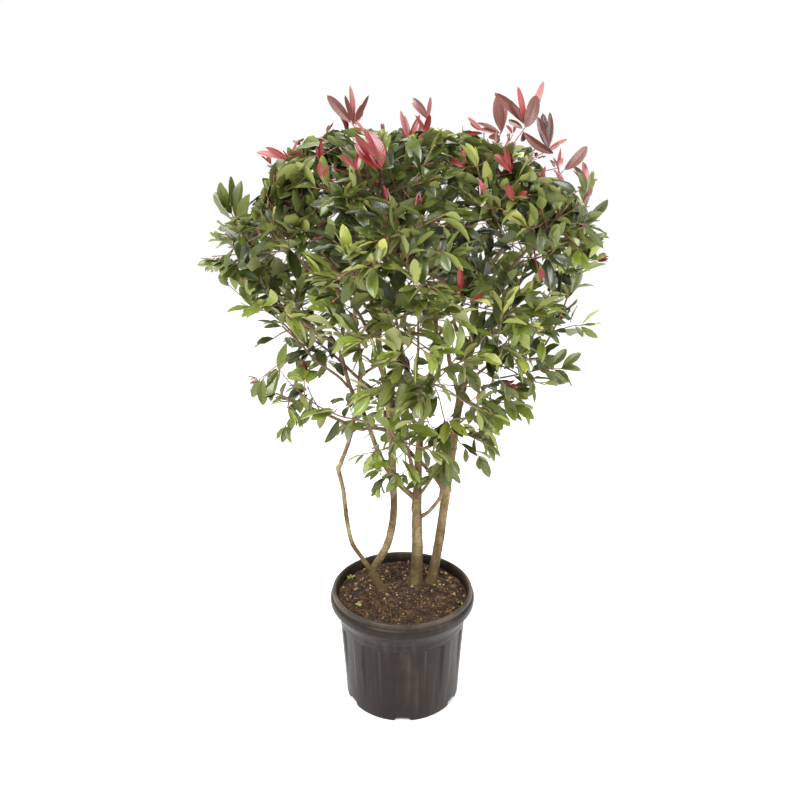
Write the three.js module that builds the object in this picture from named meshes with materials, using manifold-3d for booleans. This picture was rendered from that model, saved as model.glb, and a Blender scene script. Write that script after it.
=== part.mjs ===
// A photinia shrub with several stems and red young shoots, standing in a fluted nursery pot.
// Millimetres, +Z up, front towards -Y. The origin is the middle of the pot's flat underside.
import * as THREE from "three";
import { mergeVertices } from "three/addons/utils/BufferGeometryUtils.js";
import Module from "manifold-3d";

const wasm = await Module();
wasm.setup();

// ---------- Driving dimensions ----------

const GAP = 0.3; // clearance between neighbouring solids
const SEED = 7;
const SEED_STEP = 7937; // between the seeds of one mass and the next
const GOLDEN_ANGLE = THREE.MathUtils.degToRad(137.5);

const POT = {
  height: 368,
  baseRadius: 180,
  skirtRadius: 182, // at the lower end of the flutes
  wallRadius: 197, // at the upper end of the flutes
  shoulderRadius: 198.5, // over the flutes' ledge
  shoulderHeight: 267,
  neckRadius: 201,
  neckHeight: 284,
  underRimRadius: 215, // where the neck's flare meets the rim's rounded underside
  underRimHeight: 308,
  rimRadius: 226,
  rimLow: 326,
  rimHigh: 341,
  beadRadius: 219, // the bead round the mouth stands on the rim's slope
  beadHeight: 353,
  lipRadius: 214, // top edge, outside
  mouthRadius: 210, // top edge, inside
  innerNeckRadius: 197,
  innerNeckHeight: 298,
  wall: 8,
  floor: 5,
  padRadius: 130, // flat middle of the underside
  footRadius: 167, // inside of the ring that the wall stands on
  footHeight: 15,
  fluteLow: 36,
  fluteHigh: 262,
  fluteDepth: 5,
  fluteRunOut: 150, // height over which a flute deepens from nothing to its full depth
  flutes: 12,
  segments: 48,
  notches: 6,
  notchWidth: 48,
  notchHeight: 12,
};
const SOIL_TOP = 329;

// Stems: the axis from the foot upwards, the mass of leaves that it ends in, its radius at the foot
// and the tip, how fast it thins, the flare of the foot, and the lowest place where a bough forks off.
const STEMS = [
  {
    name: "stem_left", mass: "crest_3", foot: 12.5, tip: 4.5, power: 0.7, flare: 5, lowestFork: 860,
    points: [[-64, 28, SOIL_TOP + GAP], [-92, 33, 396], [-68, 31, 452], [-44, 29, 506], [-27, 25, 608],
      [-29, 18, 740], [-34, 10, 890], [-63, 10, 1114], [-95, 5, 1303]],
  },
  {
    name: "stem_middle", mass: "top_1", foot: 20.5, tip: 4.5, power: 1.7, flare: 3, lowestFork: 640,
    points: [[44, 73, SOIL_TOP + GAP], [48, 80, 440], [46, 75, 627], [50, 66, 780], [62, 57, 940],
      [91, 48, 1100], [88, 40, 1260]],
  },
  {
    name: "stem_right", mass: "crest_1", foot: 15.5, tip: 4.5, power: 0.5, flare: 4, lowestFork: 700,
    points: [[93, 74, SOIL_TOP + GAP], [119, 84, 490], [148, 90, 740], [171, 98, 928], [201, 100, 1103],
      [212, 100, 1227]],
  },
  {
    name: "stem_far_left", mass: "crest_4", foot: 7, tip: 4, power: 0.6, flare: 2, lowestFork: 900,
    parent: "stem_left",
    points: [[-88, 33, 388], [-126, 22, 452], [-156, 8, 514], [-170, -2, 600], [-178, -10, 701],
      [-190, -14, 768], [-183, -15, 790], [-148, -20, 897], [-119, -36, 1084], [-127, -60, 1300]],
  },
];
const STEM = {
  flareHeight: 22, // height over which the flare of a foot dies away
  lead: 100, // straight length before a stem enters its mass
  sides: 8,
  steps: 12,
};

// The crown's outline from the front: how far it spreads to the left and to the right at each height.
const OUTLINE = [
  { height: 735, left: 70, right: 70 },
  { height: 810, left: 150, right: 280 },
  { height: 950, left: 330, right: 350 },
  { height: 1050, left: 430, right: 450 },
  { height: 1150, left: 400, right: 460 },
  { height: 1270, left: 490, right: 475 },
  { height: 1400, left: 560, right: 565 },
  { height: 1500, left: 500, right: 560 },
  { height: 1600, left: 430, right: 530 },
  { height: 1660, left: 375, right: 490 },
  { height: 1735, left: 300, right: 390 },
];
const CROWN_DEPTH = 0.86; // depth of the crown as a share of its spread

// Tiers of foliage. The masses of a tier stand evenly round the crown at a share of its radius, the
// first at a bearing in degrees from +X towards +Y. Each climbs outwards from a hub `rise` below it,
// its bough climbs at least `slope` for each millimetre outwards, and its leaves lean by `lift`.
const TIERS = [
  { name: "skirt", height: 885, count: 3, bearing: -90, step: 100, share: 0.55, rise: 120, slope: 0.3,
    lift: -0.7 },
  { name: "apron", height: 1010, count: 1, bearing: 205, step: 0, share: 0.75, rise: 109, slope: 0.3,
    lift: -0.9, hub: [-84, -26] },
  { name: "low", height: 1085, count: 4, bearing: -65, step: 72, share: 0.62, rise: 200, slope: 0.5,
    lift: -0.4 },
  { name: "mid", height: 1265, count: 5, bearing: -165, step: 72, share: 0.66, rise: 300, slope: 0.7,
    lift: 0 },
  { name: "heart", height: 1330, count: 1, bearing: 0, step: 0, share: 0, rise: 400, slope: 0.7,
    lift: 0.2 },
  { name: "upper", height: 1455, count: 6, bearing: -90, step: 60, share: 0.68, rise: 400, slope: 0.75,
    lift: 0.2 },
  { name: "crest", height: 1600, count: 5, bearing: 36, step: 72, share: 0.6, rise: 500, slope: 0.75,
    lift: 0.4 },
  { name: "top", height: 1620, count: 1, bearing: 0, step: 0, share: 0, rise: 600, slope: 0.75,
    lift: 0.5 },
];
const HUB = [30, 20]; // the middle that the masses climb away from, where their tier gives no other
const STRAY = { bearing: 7, height: 20 }; // how far a mass may stand off its even place, each way

// Boughs whose whole course shows between the stems: the points of the axis up to the mass.
const SHOWN_BOUGHS = {
  mid_1: {
    stem: "stem_middle", foot: 8.5,
    points: [[46, 75, 627], [-29, 58, 711], [-74, 50, 802], [-114, 32, 927], [-152, 8, 1020]],
  },
  apron_1: { stem: "stem_left", foot: 5.5, points: [[-34, 10, 885], [-90, -32, 908]] },
  skirt_2: { stem: "stem_middle", foot: 6, points: [[48, 78, 560], [89, 40, 613], [118, 5, 700]] },
  skirt_1: { stem: "stem_middle", foot: 6, points: [[46, 74, 650], [40, 30, 715]] },
  heart_1: { stem: "stem_right", foot: 7, points: [[174, 98, 955], [140, 58, 1075], [114, 20, 1160]] },
};

const BOUGH = {
  tip: 5,
  slimmest: 5, // radius at the foot of the shortest bough
  growth: 0.012, // extra radius for each millimetre of its length
  stemShare: 0.62, // thickest foot as a share of its stem's radius
  straight: 0.38, // share of its length that it keeps its first and last direction
  lean: 1.1, // how much it leaves along its stem, against straight outwards
  lead: 60, // straight length before a shown bough enters its mass
  atStem: 3.5, // radii of its stem's foot within which it may be close to that stem
  stepAlongStem: 0.03,
  spacing: 0.045, // least distance between two forks, as a share of the stem
  leastClimb: 50,
  swings: [0, 40, -40, 80, -80, 120, -120, 170, -170], // sideways bow, tried in this order
  clearance: 4,
  sides: 5,
  ringSpacing: 65,
};

const MASS = {
  stemBelow: 105, // how far below its centre a mass begins
  stemAbove: 170, // longest stem above the centre
  shortestStem: 20, // above the centre
  margin: 0.6, // kept clear of the boundary with the next mass
  stemRadius: 6,
  stemTip: 4,
  shootRadius: 2.3,
  shootTip: 1.8,
  longestShoot: 210,
  shortestShoot: 55,
  spread: 65, // degrees between a shoot and its stem
  spreadStray: 10, // and how far that may be off, each way
  shoots: 6,
  firstShoot: 0.16, // share of the stem below the first shoot
  shootStretch: 0.72, // share of the stem that the shoots leave from
  roomForLeaves: 45, // between the tip of a shoot and the mass's boundary
};

const LEAF = {
  length: 156,
  width: 74,
  sizes: [0.82, 1.06],
  thickness: 3.2,
  widest: 0.46, // share of the length where the leaf is widest
  fold: 0.16, // rise of the edges over the midrib, as a share of the width
  droop: 0.07, // fall of the tip, as a share of the length
  sunk: 0.3, // depth of the root past the twig's axis
  angle: 58, // degrees between a leaf and its twig
  angleStray: 8, // and how far that may be off, each way
  tipAngles: [26, 42], // the same round the tip of a twig
  spacing: 50,
  bareShare: 0.2, // share of a twig that has no leaves
  bareTip: 25, // length at its tip that has none but those round the tip
  atTip: 3, // leaves round the tip of a twig
  tipSpacing: 7, // between their roots
  tipInset: 3, // from the tip to the first of them
  up: 0.2, // how much a leaf faces upwards, against outwards from its twig
  outwards: 1.5, // how much it faces along its mass's own direction
  free: 0.3, // share of a leaf that may stand close to its own twig
  turns: 8, // bearings tried before a leaf is skipped
  clearance: 3, // from limbs
  apart: 28, // from other leaves and twigs of its own mass
  samples: [0.35, 0.55, 0.75, 0.95], // shares of its length that are kept apart
};

// Young shoots that stand out above the crown: the point that each one reaches, and its number of leaves.
const YOUNG_SHOOTS = [
  { tip: [-166, -60, 1815], leaves: 4 },
  { tip: [-354, -100, 1690], leaves: 4 },
  { tip: [-80, -300, 1728], leaves: 4 },
  { tip: [45, 80, 1800], leaves: 4 },
  { tip: [183, 100, 1750], leaves: 3 },
  { tip: [251, 0, 1805], leaves: 4 },
  { tip: [350, -50, 1847], leaves: 5 },
  { tip: [399, 0, 1755], leaves: 4 },
  { tip: [480, -30, 1670], leaves: 3 },
  { tip: [-60, 300, 1770], leaves: 4 },
  { tip: [150, 330, 1740], leaves: 4 },
];
const YOUNG = {
  size: 0.72, // of a leaf against a grown one
  from: 0.45, // share of the mass's stem where the shoot leaves it
  short: 0.86, // lengths of a leaf that the shoot ends below its tip
  spacing: 8, // between the roots of its leaves
  first: 6, // degrees between the uppermost leaf and the shoot
  angle: 36, // the same for the others
  lift: 0.3,
};

const LIMB_SAMPLES = 24; // pieces of a limb in the tests for clearance

const COLOURS = {
  pot: 0x46403c,
  soil: 0x3a2a1f,
  bark: 0x8c7850,
  leaf: 0x4a6a2c,
};

// ---------- Numbers and vectors ----------

class Dice {
  constructor(seed) {
    this.state = seed;
  }

  between(low, high) {
    this.state = (this.state * 1664525 + 1013904223) % 4294967296;
    return low + (high - low) * (this.state / 4294967296);
  }
}

const UP = new THREE.Vector3(0, 0, 1);
const radians = THREE.MathUtils.degToRad;

function vectors(points) {
  return points.map((point) => new THREE.Vector3(...point));
}

// The point at a distance from another one in a direction.
function along(point, direction, distance) {
  return point.clone().addScaledVector(direction, distance);
}

// A direction that stands square to an axis, turned round it by an angle.
function sideways(axis, angle) {
  const helper = Math.abs(axis.z) < 0.9 ? UP : new THREE.Vector3(1, 0, 0);
  const side = new THREE.Vector3().crossVectors(axis, helper).normalize();
  return side.applyAxisAngle(axis, angle);
}

// ---------- Solids ----------

function toSolid(geometry) {
  const plain = geometry.clone();
  plain.deleteAttribute("normal");
  plain.deleteAttribute("uv");
  const merged = mergeVertices(plain, 1e-3);
  const index = merged.index.array;
  const triangles = [];
  for (let i = 0; i < index.length; i += 3) {
    const [a, b, c] = index.slice(i, i + 3);
    if (a !== b && b !== c && c !== a) {
      triangles.push(a, b, c);
    }
  }
  const vertProperties = new Float32Array(merged.attributes.position.array);
  const triVerts = new Uint32Array(triangles);
  return new wasm.Manifold(new wasm.Mesh({ numProp: 3, vertProperties, triVerts }));
}

function toGeometry(solid) {
  const mesh = solid.getMesh();
  const geometry = new THREE.BufferGeometry();
  geometry.setAttribute("position", new THREE.BufferAttribute(mesh.vertProperties, 3));
  geometry.setIndex(new THREE.BufferAttribute(mesh.triVerts, 1));
  return geometry;
}

// A closed skin round a row of rings, each with the same number of points.
function skin(rings) {
  const sides = rings[0].length;
  const positions = rings.flat().flatMap((point) => point.toArray());
  const index = [];
  for (let i = 0; i < rings.length - 1; i += 1) {
    for (let j = 0; j < sides; j += 1) {
      const a = i * sides + j;
      const b = i * sides + ((j + 1) % sides);
      index.push(a, b, b + sides, a, b + sides, a + sides);
    }
  }
  const last = (rings.length - 1) * sides;
  for (let j = 1; j < sides - 1; j += 1) {
    index.push(0, j + 1, j);
    index.push(last, last + j, last + j + 1);
  }
  const geometry = new THREE.BufferGeometry();
  geometry.setAttribute("position", new THREE.Float32BufferAttribute(positions, 3));
  geometry.setIndex(index);
  return geometry;
}

// A round limb along an axis. Its radius is a function of the share of the axis, from 0 to 1.
function tube(axis, radiusAt, sides, steps, levelFoot = false) {
  const frames = axis.computeFrenetFrames(steps, false);
  const rings = [];
  for (let i = 0; i <= steps; i += 1) {
    const centre = axis.getPointAt(i / steps);
    const radius = radiusAt(i / steps);
    const ring = [];
    for (let j = 0; j < sides; j += 1) {
      const angle = (2 * Math.PI * j) / sides;
      const point = along(centre, frames.normals[i], radius * Math.cos(angle));
      point.addScaledVector(frames.binormals[i], radius * Math.sin(angle));
      if (levelFoot && i === 0) {
        point.z = centre.z;
      }
      ring.push(point);
    }
    rings.push(ring);
  }
  return skin(rings);
}

// ---------- Pot and soil ----------

// Inside of the pot's wall: straight up behind the flutes, then flaring out past the neck to the mouth.
function innerRadius(height) {
  const low = POT.footRadius + 1;
  const behindFlutes = POT.wallRadius - POT.fluteDepth - POT.wall;
  const neck = POT.innerNeckRadius;
  if (height < POT.fluteHigh) {
    return THREE.MathUtils.mapLinear(height, POT.footHeight, POT.fluteHigh, low, behindFlutes);
  }
  if (height < POT.innerNeckHeight) {
    return THREE.MathUtils.mapLinear(height, POT.fluteHigh, POT.innerNeckHeight, behindFlutes, neck);
  }
  return THREE.MathUtils.mapLinear(height, POT.innerNeckHeight, POT.height, neck, POT.mouthRadius);
}

function lathe(profile) {
  const points = profile.map(([radius, height]) => new THREE.Vector2(radius, height));
  const start = Math.PI / POT.segments;
  return new THREE.LatheGeometry(points, POT.segments, start).rotateX(Math.PI / 2);
}

// Presses the flutes into the outside of the wall, deeper towards the top.
function pressFlutes(geometry) {
  const position = geometry.attributes.position;
  const pitch = (2 * Math.PI) / POT.flutes;
  for (let i = 0; i < position.count; i += 1) {
    const point = new THREE.Vector3().fromBufferAttribute(position, i);
    const radius = Math.hypot(point.x, point.y);
    const bearing = Math.atan2(point.x, -point.y) + 2 * Math.PI;
    const fromMiddle = Math.abs(((bearing + pitch / 2) % pitch) - pitch / 2);
    const onWall = point.z > POT.fluteLow && point.z < POT.fluteHigh + 1;
    if (onWall && radius > innerRadius(point.z) + 1 && fromMiddle < pitch / 4) {
      const depth = POT.fluteDepth * Math.min(1, (point.z - POT.fluteLow) / POT.fluteRunOut);
      const scale = (radius - depth) / radius;
      position.setXY(i, point.x * scale, point.y * scale);
    }
  }
  return geometry;
}

function potGeometry() {
  const footTop = POT.footHeight + POT.floor;
  const profile = [
    [0, 0],
    [POT.padRadius, 0],
    [POT.padRadius, POT.footHeight],
    [POT.footRadius, POT.footHeight],
    [POT.footRadius, 0],
    [POT.baseRadius, 0],
    [POT.skirtRadius, POT.fluteLow],
    [POT.wallRadius, POT.fluteHigh],
    [POT.shoulderRadius, POT.shoulderHeight],
    [POT.neckRadius, POT.neckHeight],
    [POT.underRimRadius, POT.underRimHeight],
    [POT.rimRadius, POT.rimLow],
    [POT.rimRadius, POT.rimHigh],
    [POT.beadRadius, POT.beadHeight],
    [POT.lipRadius, POT.height],
    [POT.mouthRadius, POT.height],
    [POT.innerNeckRadius, POT.innerNeckHeight],
    [innerRadius(POT.fluteHigh), POT.fluteHigh],
    [innerRadius(footTop), footTop],
    [0, footTop],
  ];
  let pot = toSolid(pressFlutes(lathe(profile)));
  const ringDepth = 3 * (POT.baseRadius - POT.footRadius);
  for (let i = 0; i < POT.notches; i += 1) {
    const notch = new THREE.BoxGeometry(POT.notchWidth, ringDepth, 2 * POT.notchHeight);
    notch.translate(0, -(POT.baseRadius + POT.footRadius) / 2, 0);
    notch.rotateZ((2 * Math.PI * i) / POT.notches);
    pot = pot.subtract(toSolid(notch));
  }
  return toGeometry(pot);
}

function soilGeometry() {
  const floor = POT.footHeight + POT.floor + GAP;
  const clearance = GAP / Math.cos(Math.PI / POT.segments);
  return lathe([
    [0, floor],
    [innerRadius(floor) - clearance, floor],
    [innerRadius(POT.fluteHigh) - clearance, POT.fluteHigh],
    [POT.innerNeckRadius - clearance, POT.innerNeckHeight],
    [innerRadius(SOIL_TOP) - clearance, SOIL_TOP],
    [0, SOIL_TOP],
  ]);
}

// ---------- The crown's space ----------

function spreadAt(height) {
  for (let i = 1; i < OUTLINE.length; i += 1) {
    const below = OUTLINE[i - 1];
    const above = OUTLINE[i];
    if (height >= below.height && height <= above.height) {
      const share = (height - below.height) / (above.height - below.height);
      const left = below.left + share * (above.left - below.left);
      const right = below.right + share * (above.right - below.right);
      return { left, right, depth: (CROWN_DEPTH * (left + right)) / 2 };
    }
  }
  return null;
}

function crownRadius(bearing, height) {
  const spread = spreadAt(height);
  const side = Math.cos(bearing) < 0 ? spread.left : spread.right;
  return 1 / Math.hypot(Math.cos(bearing) / side, Math.sin(bearing) / spread.depth);
}

function insideCrown(point) {
  if (spreadAt(point.z) === null) {
    return false;
  }
  return Math.hypot(point.x, point.y) <= crownRadius(Math.atan2(point.y, point.x), point.z);
}

// A mass owns the points that are nearer to its centre than to any other mass's.
function insideCell(point, mass, masses, margin) {
  for (const other of masses) {
    if (other === mass) {
      continue;
    }
    const between = other.centre.clone().sub(mass.centre);
    const distance = between.length();
    const share = point.clone().sub(mass.centre).dot(between) / distance;
    if (share > distance / 2 - margin) {
      return false;
    }
  }
  return true;
}

// How far a straight line runs before it leaves the mass's space.
function roomAlong(start, direction, mass, masses, longest) {
  const step = 5;
  let room = 0;
  while (room < longest) {
    const next = along(start, direction, room + step);
    if (!insideCrown(next) || !insideCell(next, mass, masses, MASS.margin)) {
      break;
    }
    room += step;
  }
  return room;
}

// ---------- Limbs ----------

// A limb for the clearance tests: points along it, each with the limb's radius there.
function obstacle(name, axis, radiusAt) {
  const samples = [];
  for (let i = 0; i <= LIMB_SAMPLES; i += 1) {
    const share = i / LIMB_SAMPLES;
    samples.push({ point: axis.getPointAt(share), radius: radiusAt(share) });
  }
  return { name, samples };
}

function distanceToPiece(point, from, to) {
  const span = to.clone().sub(from);
  const share = THREE.MathUtils.clamp(point.clone().sub(from).dot(span) / span.lengthSq(), 0, 1);
  return along(from, span, share).distanceTo(point);
}

// Whether a ball stays clear of every limb.
function clearOfLimbs(point, radius, limbs) {
  for (const limb of limbs) {
    for (let i = 1; i < limb.samples.length; i += 1) {
      const from = limb.samples[i - 1];
      const to = limb.samples[i];
      const reach = radius + Math.max(from.radius, to.radius);
      if (distanceToPiece(point, from.point, to.point) < reach) {
        return false;
      }
    }
  }
  return true;
}

function makeMasses() {
  const dice = new Dice(SEED);
  const masses = [];
  for (const tier of TIERS) {
    for (let i = 0; i < tier.count; i += 1) {
      const turn = tier.step * i + dice.between(-STRAY.bearing, STRAY.bearing);
      const bearing = radians(tier.bearing + turn);
      const height = tier.height + dice.between(-STRAY.height, STRAY.height);
      const reach = tier.share * crownRadius(bearing, height);
      const centre = new THREE.Vector3(reach * Math.cos(bearing), reach * Math.sin(bearing), height);
      masses.push({ name: `${tier.name}_${i + 1}`, tier, centre });
    }
  }
  for (const mass of masses) {
    const [x, y] = mass.tier.hub ?? HUB;
    const hub = new THREE.Vector3(x, y, mass.centre.z - mass.tier.rise);
    mass.direction = mass.centre.clone().sub(hub).normalize();
    mass.entry = along(mass.centre, mass.direction, -MASS.stemBelow);
    const longest = MASS.stemAbove + MASS.roomForLeaves;
    const above = roomAlong(mass.centre, mass.direction, mass, masses, longest) - MASS.roomForLeaves;
    const end = along(mass.centre, mass.direction, Math.max(MASS.shortestStem, above));
    mass.axis = new THREE.LineCurve3(along(mass.entry, mass.direction, GAP), end);
    mass.radiusAt = (share) => MASS.stemRadius + share * (MASS.stemTip - MASS.stemRadius);
  }
  return masses;
}

function stemAxis(stem, masses) {
  const mass = masses.find((candidate) => candidate.name === stem.mass);
  const lastPoints = [along(mass.entry, mass.direction, -STEM.lead), mass.entry];
  return new THREE.CatmullRomCurve3([...vectors(stem.points), ...lastPoints], false, "catmullrom");
}

function stemRadius(stem, axis) {
  const length = axis.getLength();
  return (share) => {
    const taper = stem.tip + (stem.foot - stem.tip) * (1 - share) ** stem.power;
    return taper + stem.flare * Math.exp((-share * length) / STEM.flareHeight);
  };
}

// A bough's axis leaves the stem outwards and upwards, bows sideways by `swing` and ends along the
// mass's own direction.
function boughAxis(fork, stemDirection, mass, swing) {
  const span = mass.entry.clone().sub(fork);
  const level = new THREE.Vector3(span.x, span.y, 0).normalize();
  const reach = BOUGH.straight * span.length();
  const leaving = level.clone().addScaledVector(stemDirection, BOUGH.lean).normalize();
  const second = along(fork, leaving, reach);
  second.addScaledVector(new THREE.Vector3(-level.y, level.x, 0), swing);
  const third = along(mass.entry, mass.direction, -reach);
  return new THREE.CubicBezierCurve3(fork, second, third, mass.entry.clone());
}

function isClearWay(axis, radius, stem, mass, limbs, masses) {
  const steps = 30;
  const stemLimb = limbs.filter((limb) => limb.name === stem.name);
  const leaders = masses
    .filter((other) => other !== mass)
    .map((other) => obstacle(other.name, other.axis, other.radiusAt));
  const others = [...limbs.filter((limb) => limb.name !== stem.name), ...leaders];
  const length = axis.getLength();
  const reach = radius + BOUGH.clearance;
  for (let i = 0; i <= steps; i += 1) {
    const point = axis.getPointAt(i / steps);
    const hasLeft = (i / steps) * length > BOUGH.atStem * stem.foot;
    if (hasLeft && !clearOfLimbs(point, reach, stemLimb)) {
      return false;
    }
    if (!clearOfLimbs(point, reach, others)) {
      return false;
    }
  }
  return true;
}

// The shortest clear way from a stem to a mass, with room for the forks that are already there.
function routeBough(mass, stems, limbs, masses) {
  const options = [];
  for (const stem of stems) {
    for (let share = 0; share < 1; share += BOUGH.stepAlongStem) {
      const fork = stem.axis.getPointAt(share);
      const outwards = Math.hypot(mass.entry.x - fork.x, mass.entry.y - fork.y);
      const climb = mass.entry.z - fork.z;
      const isFree = stem.forks.every((other) => Math.abs(other - share) > BOUGH.spacing);
      const isSteep = climb > Math.max(mass.tier.slope * outwards, BOUGH.leastClimb);
      if (fork.z > stem.lowestFork && isSteep && isFree) {
        options.push({ stem, share, fork, length: Math.hypot(outwards, climb) });
      }
    }
  }
  options.sort((a, b) => a.length - b.length);
  for (const swing of BOUGH.swings) {
    for (const { stem, share, fork, length } of options) {
      const thickest = BOUGH.stemShare * stem.radiusAt(share);
      const foot = Math.min(thickest, BOUGH.slimmest + BOUGH.growth * length);
      const axis = boughAxis(fork, stem.axis.getTangentAt(share), mass, swing);
      if (isClearWay(axis, foot, stem, mass, limbs, masses)) {
        stem.forks.push(share);
        return { stem, axis, foot };
      }
    }
  }
  throw new Error(`no clear way to ${mass.name}`);
}

function shownBough(mass, stems) {
  const shown = SHOWN_BOUGHS[mass.name];
  const stem = stems.find((candidate) => candidate.name === shown.stem);
  const lastPoints = [along(mass.entry, mass.direction, -BOUGH.lead), mass.entry];
  const axis = new THREE.CatmullRomCurve3([...vectors(shown.points), ...lastPoints], false, "catmullrom");
  return { stem, axis, foot: shown.foot };
}

// A limb's base, cut to fit round the limb that it forks from.
function fitToParent(geometry, parent) {
  const clearance = GAP / Math.cos(Math.PI / parent.sides);
  const grownRadius = (share) => parent.radiusAt(share) + clearance;
  const grown = tube(parent.axis, grownRadius, parent.sides, parent.steps);
  const pieces = toSolid(geometry).subtract(toSolid(grown)).decompose();
  pieces.sort((a, b) => b.volume() - a.volume());
  return toGeometry(pieces[0]);
}

function makeStems(masses) {
  return STEMS.map((stem) => {
    const axis = stemAxis(stem, masses);
    const { sides, steps } = STEM;
    return { ...stem, axis, radiusAt: stemRadius(stem, axis), sides, steps, forks: [] };
  });
}

function makeBoughs(masses, stems) {
  const limbs = stems.map((stem) => obstacle(stem.name, stem.axis, stem.radiusAt));
  const boughs = [];
  const fedByStem = new Set(stems.map((stem) => stem.mass));
  const isShown = (mass) => mass.name in SHOWN_BOUGHS;
  const fed = masses.filter((mass) => !fedByStem.has(mass.name));
  const inOrder = [...fed.filter(isShown), ...fed.filter((mass) => !isShown(mass))];
  for (const mass of inOrder) {
    const way = isShown(mass) ? shownBough(mass, stems) : routeBough(mass, stems, limbs, masses);
    const { stem, axis, foot } = way;
    const name = `bough_${mass.name}`;
    const radiusAt = (share) => BOUGH.tip + (foot - BOUGH.tip) * (1 - share);
    const steps = Math.ceil(axis.getLength() / BOUGH.ringSpacing);
    boughs.push({ name, axis, radiusAt, parent: stem.name, sides: BOUGH.sides, steps });
    limbs.push(obstacle(name, axis, radiusAt));
  }
  return { boughs, limbs };
}

// ---------- Twigs and leaves ----------

// A leaf folded along its midrib: eight faces on six corners, its root sunk into the twig.
function leafCorners(root, direction, face, scale) {
  const side = new THREE.Vector3().crossVectors(direction, face).normalize();
  const length = LEAF.length * scale;
  const width = LEAF.width * scale;
  const middle = along(root, direction, LEAF.widest * length);
  const edge = along(middle, face, LEAF.fold * width);
  return {
    root: along(root, direction, -LEAF.sunk),
    tip: along(along(root, direction, length), face, -LEAF.droop * length),
    left: along(edge, side, -width / 2),
    right: along(edge, side, width / 2),
    above: along(middle, face, LEAF.thickness / 2),
    below: along(middle, face, -LEAF.thickness / 2),
  };
}

function leafSolid(corners) {
  const names = ["root", "tip", "left", "right", "above", "below"];
  const positions = names.flatMap((name) => corners[name].toArray());
  const faces = [
    ["root", "above", "left"], ["root", "right", "above"],
    ["tip", "left", "above"], ["tip", "above", "right"],
    ["root", "left", "below"], ["root", "below", "right"],
    ["tip", "below", "left"], ["tip", "right", "below"],
  ];
  const geometry = new THREE.BufferGeometry();
  geometry.setAttribute("position", new THREE.Float32BufferAttribute(positions, 3));
  geometry.setIndex(faces.flat().map((name) => names.indexOf(name)));
  return toSolid(geometry);
}

// A mass's plot says what it may grow in and what is already there.
function inSpace(point, plot, margin) {
  return insideCell(point, plot.mass, plot.masses, margin) && (plot.isAboveCrown || insideCrown(point));
}

function leafSamples(corners) {
  return LEAF.samples.map((share) => corners.root.clone().lerp(corners.tip, share));
}

// Whether a leaf lies in its mass's space, clear of every limb and apart from the mass's own twigs
// and leaves.
function leafFits(corners, plot) {
  const points = [corners.tip, corners.left, corners.right];
  if (!points.every((point) => inSpace(point, plot, MASS.margin))) {
    return false;
  }
  const steps = 6;
  const halfWidth = corners.left.distanceTo(corners.right) / 2;
  for (let i = 0; i <= steps; i += 1) {
    const share = i / steps;
    const point = corners.root.clone().lerp(corners.tip, share);
    const rise = share < LEAF.widest ? share / LEAF.widest : (1 - share) / (1 - LEAF.widest);
    if (!clearOfLimbs(point, halfWidth * rise + LEAF.clearance, plot.limbs)) {
      return false;
    }
    if (share > LEAF.free && !clearOfLimbs(point, LEAF.apart / 2, plot.twigs)) {
      return false;
    }
  }
  const isApart = (point) => plot.taken.every((other) => point.distanceTo(other) > LEAF.apart);
  return leafSamples(corners).every(isApart);
}

// One leaf on a twig, turned on until it fits. Where there is no room for it, none is added.
function addLeaf(plot, root, twigDirection, bearing, angle, scale) {
  for (let turn = 0; turn < LEAF.turns; turn += 1) {
    const outwards = sideways(twigDirection, bearing + (turn * 2 * Math.PI) / LEAF.turns);
    const direction = twigDirection.clone().multiplyScalar(Math.cos(angle));
    direction.addScaledVector(outwards, Math.sin(angle));
    direction.addScaledVector(UP, plot.lift).normalize();
    const light = outwards.clone().addScaledVector(UP, LEAF.up);
    light.addScaledVector(plot.mass.direction, LEAF.outwards);
    const face = light.addScaledVector(direction, -light.dot(direction)).normalize();
    const corners = leafCorners(root, direction, face, scale);
    if (leafFits(corners, plot)) {
      plot.solids.push(leafSolid(corners));
      plot.taken.push(...leafSamples(corners));
      return;
    }
  }
}

function addTwig(plot, axis, foot, tip) {
  const radiusAt = (share) => foot + share * (tip - foot);
  plot.solids.push(toSolid(tube(axis, radiusAt, 3, 1)));
  plot.twigs.push(obstacle("twig", axis, radiusAt));
}

function twigFits(plot, axis, radius) {
  const steps = 8;
  for (let i = 1; i <= steps; i += 1) {
    const point = axis.getPoint(i / steps);
    if (!inSpace(point, plot, MASS.margin + radius)) {
      return false;
    }
    if (!clearOfLimbs(point, radius + LEAF.clearance, plot.limbs)) {
      return false;
    }
  }
  return true;
}

// Leaves along the outer part of a twig, each a golden angle on from the last, and some round its tip.
function addLeaves(plot, axis, dice) {
  const length = axis.getLength();
  let bearing = dice.between(0, 2 * Math.PI);
  for (let at = LEAF.bareShare * length; at < length - LEAF.bareTip; at += LEAF.spacing) {
    const share = at / length;
    const angle = radians(LEAF.angle + dice.between(-LEAF.angleStray, LEAF.angleStray));
    const size = dice.between(...LEAF.sizes);
    addLeaf(plot, axis.getPointAt(share), axis.getTangentAt(share), bearing, angle, size);
    bearing += GOLDEN_ANGLE;
  }
  for (let i = 0; i < LEAF.atTip; i += 1) {
    const root = axis.getPointAt(1 - (LEAF.tipInset + LEAF.tipSpacing * i) / length);
    const angle = radians(dice.between(...LEAF.tipAngles));
    const size = dice.between(...LEAF.sizes);
    addLeaf(plot, root, axis.getTangentAt(1), bearing + (i * 2 * Math.PI) / LEAF.atTip, angle, size);
  }
}

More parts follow.
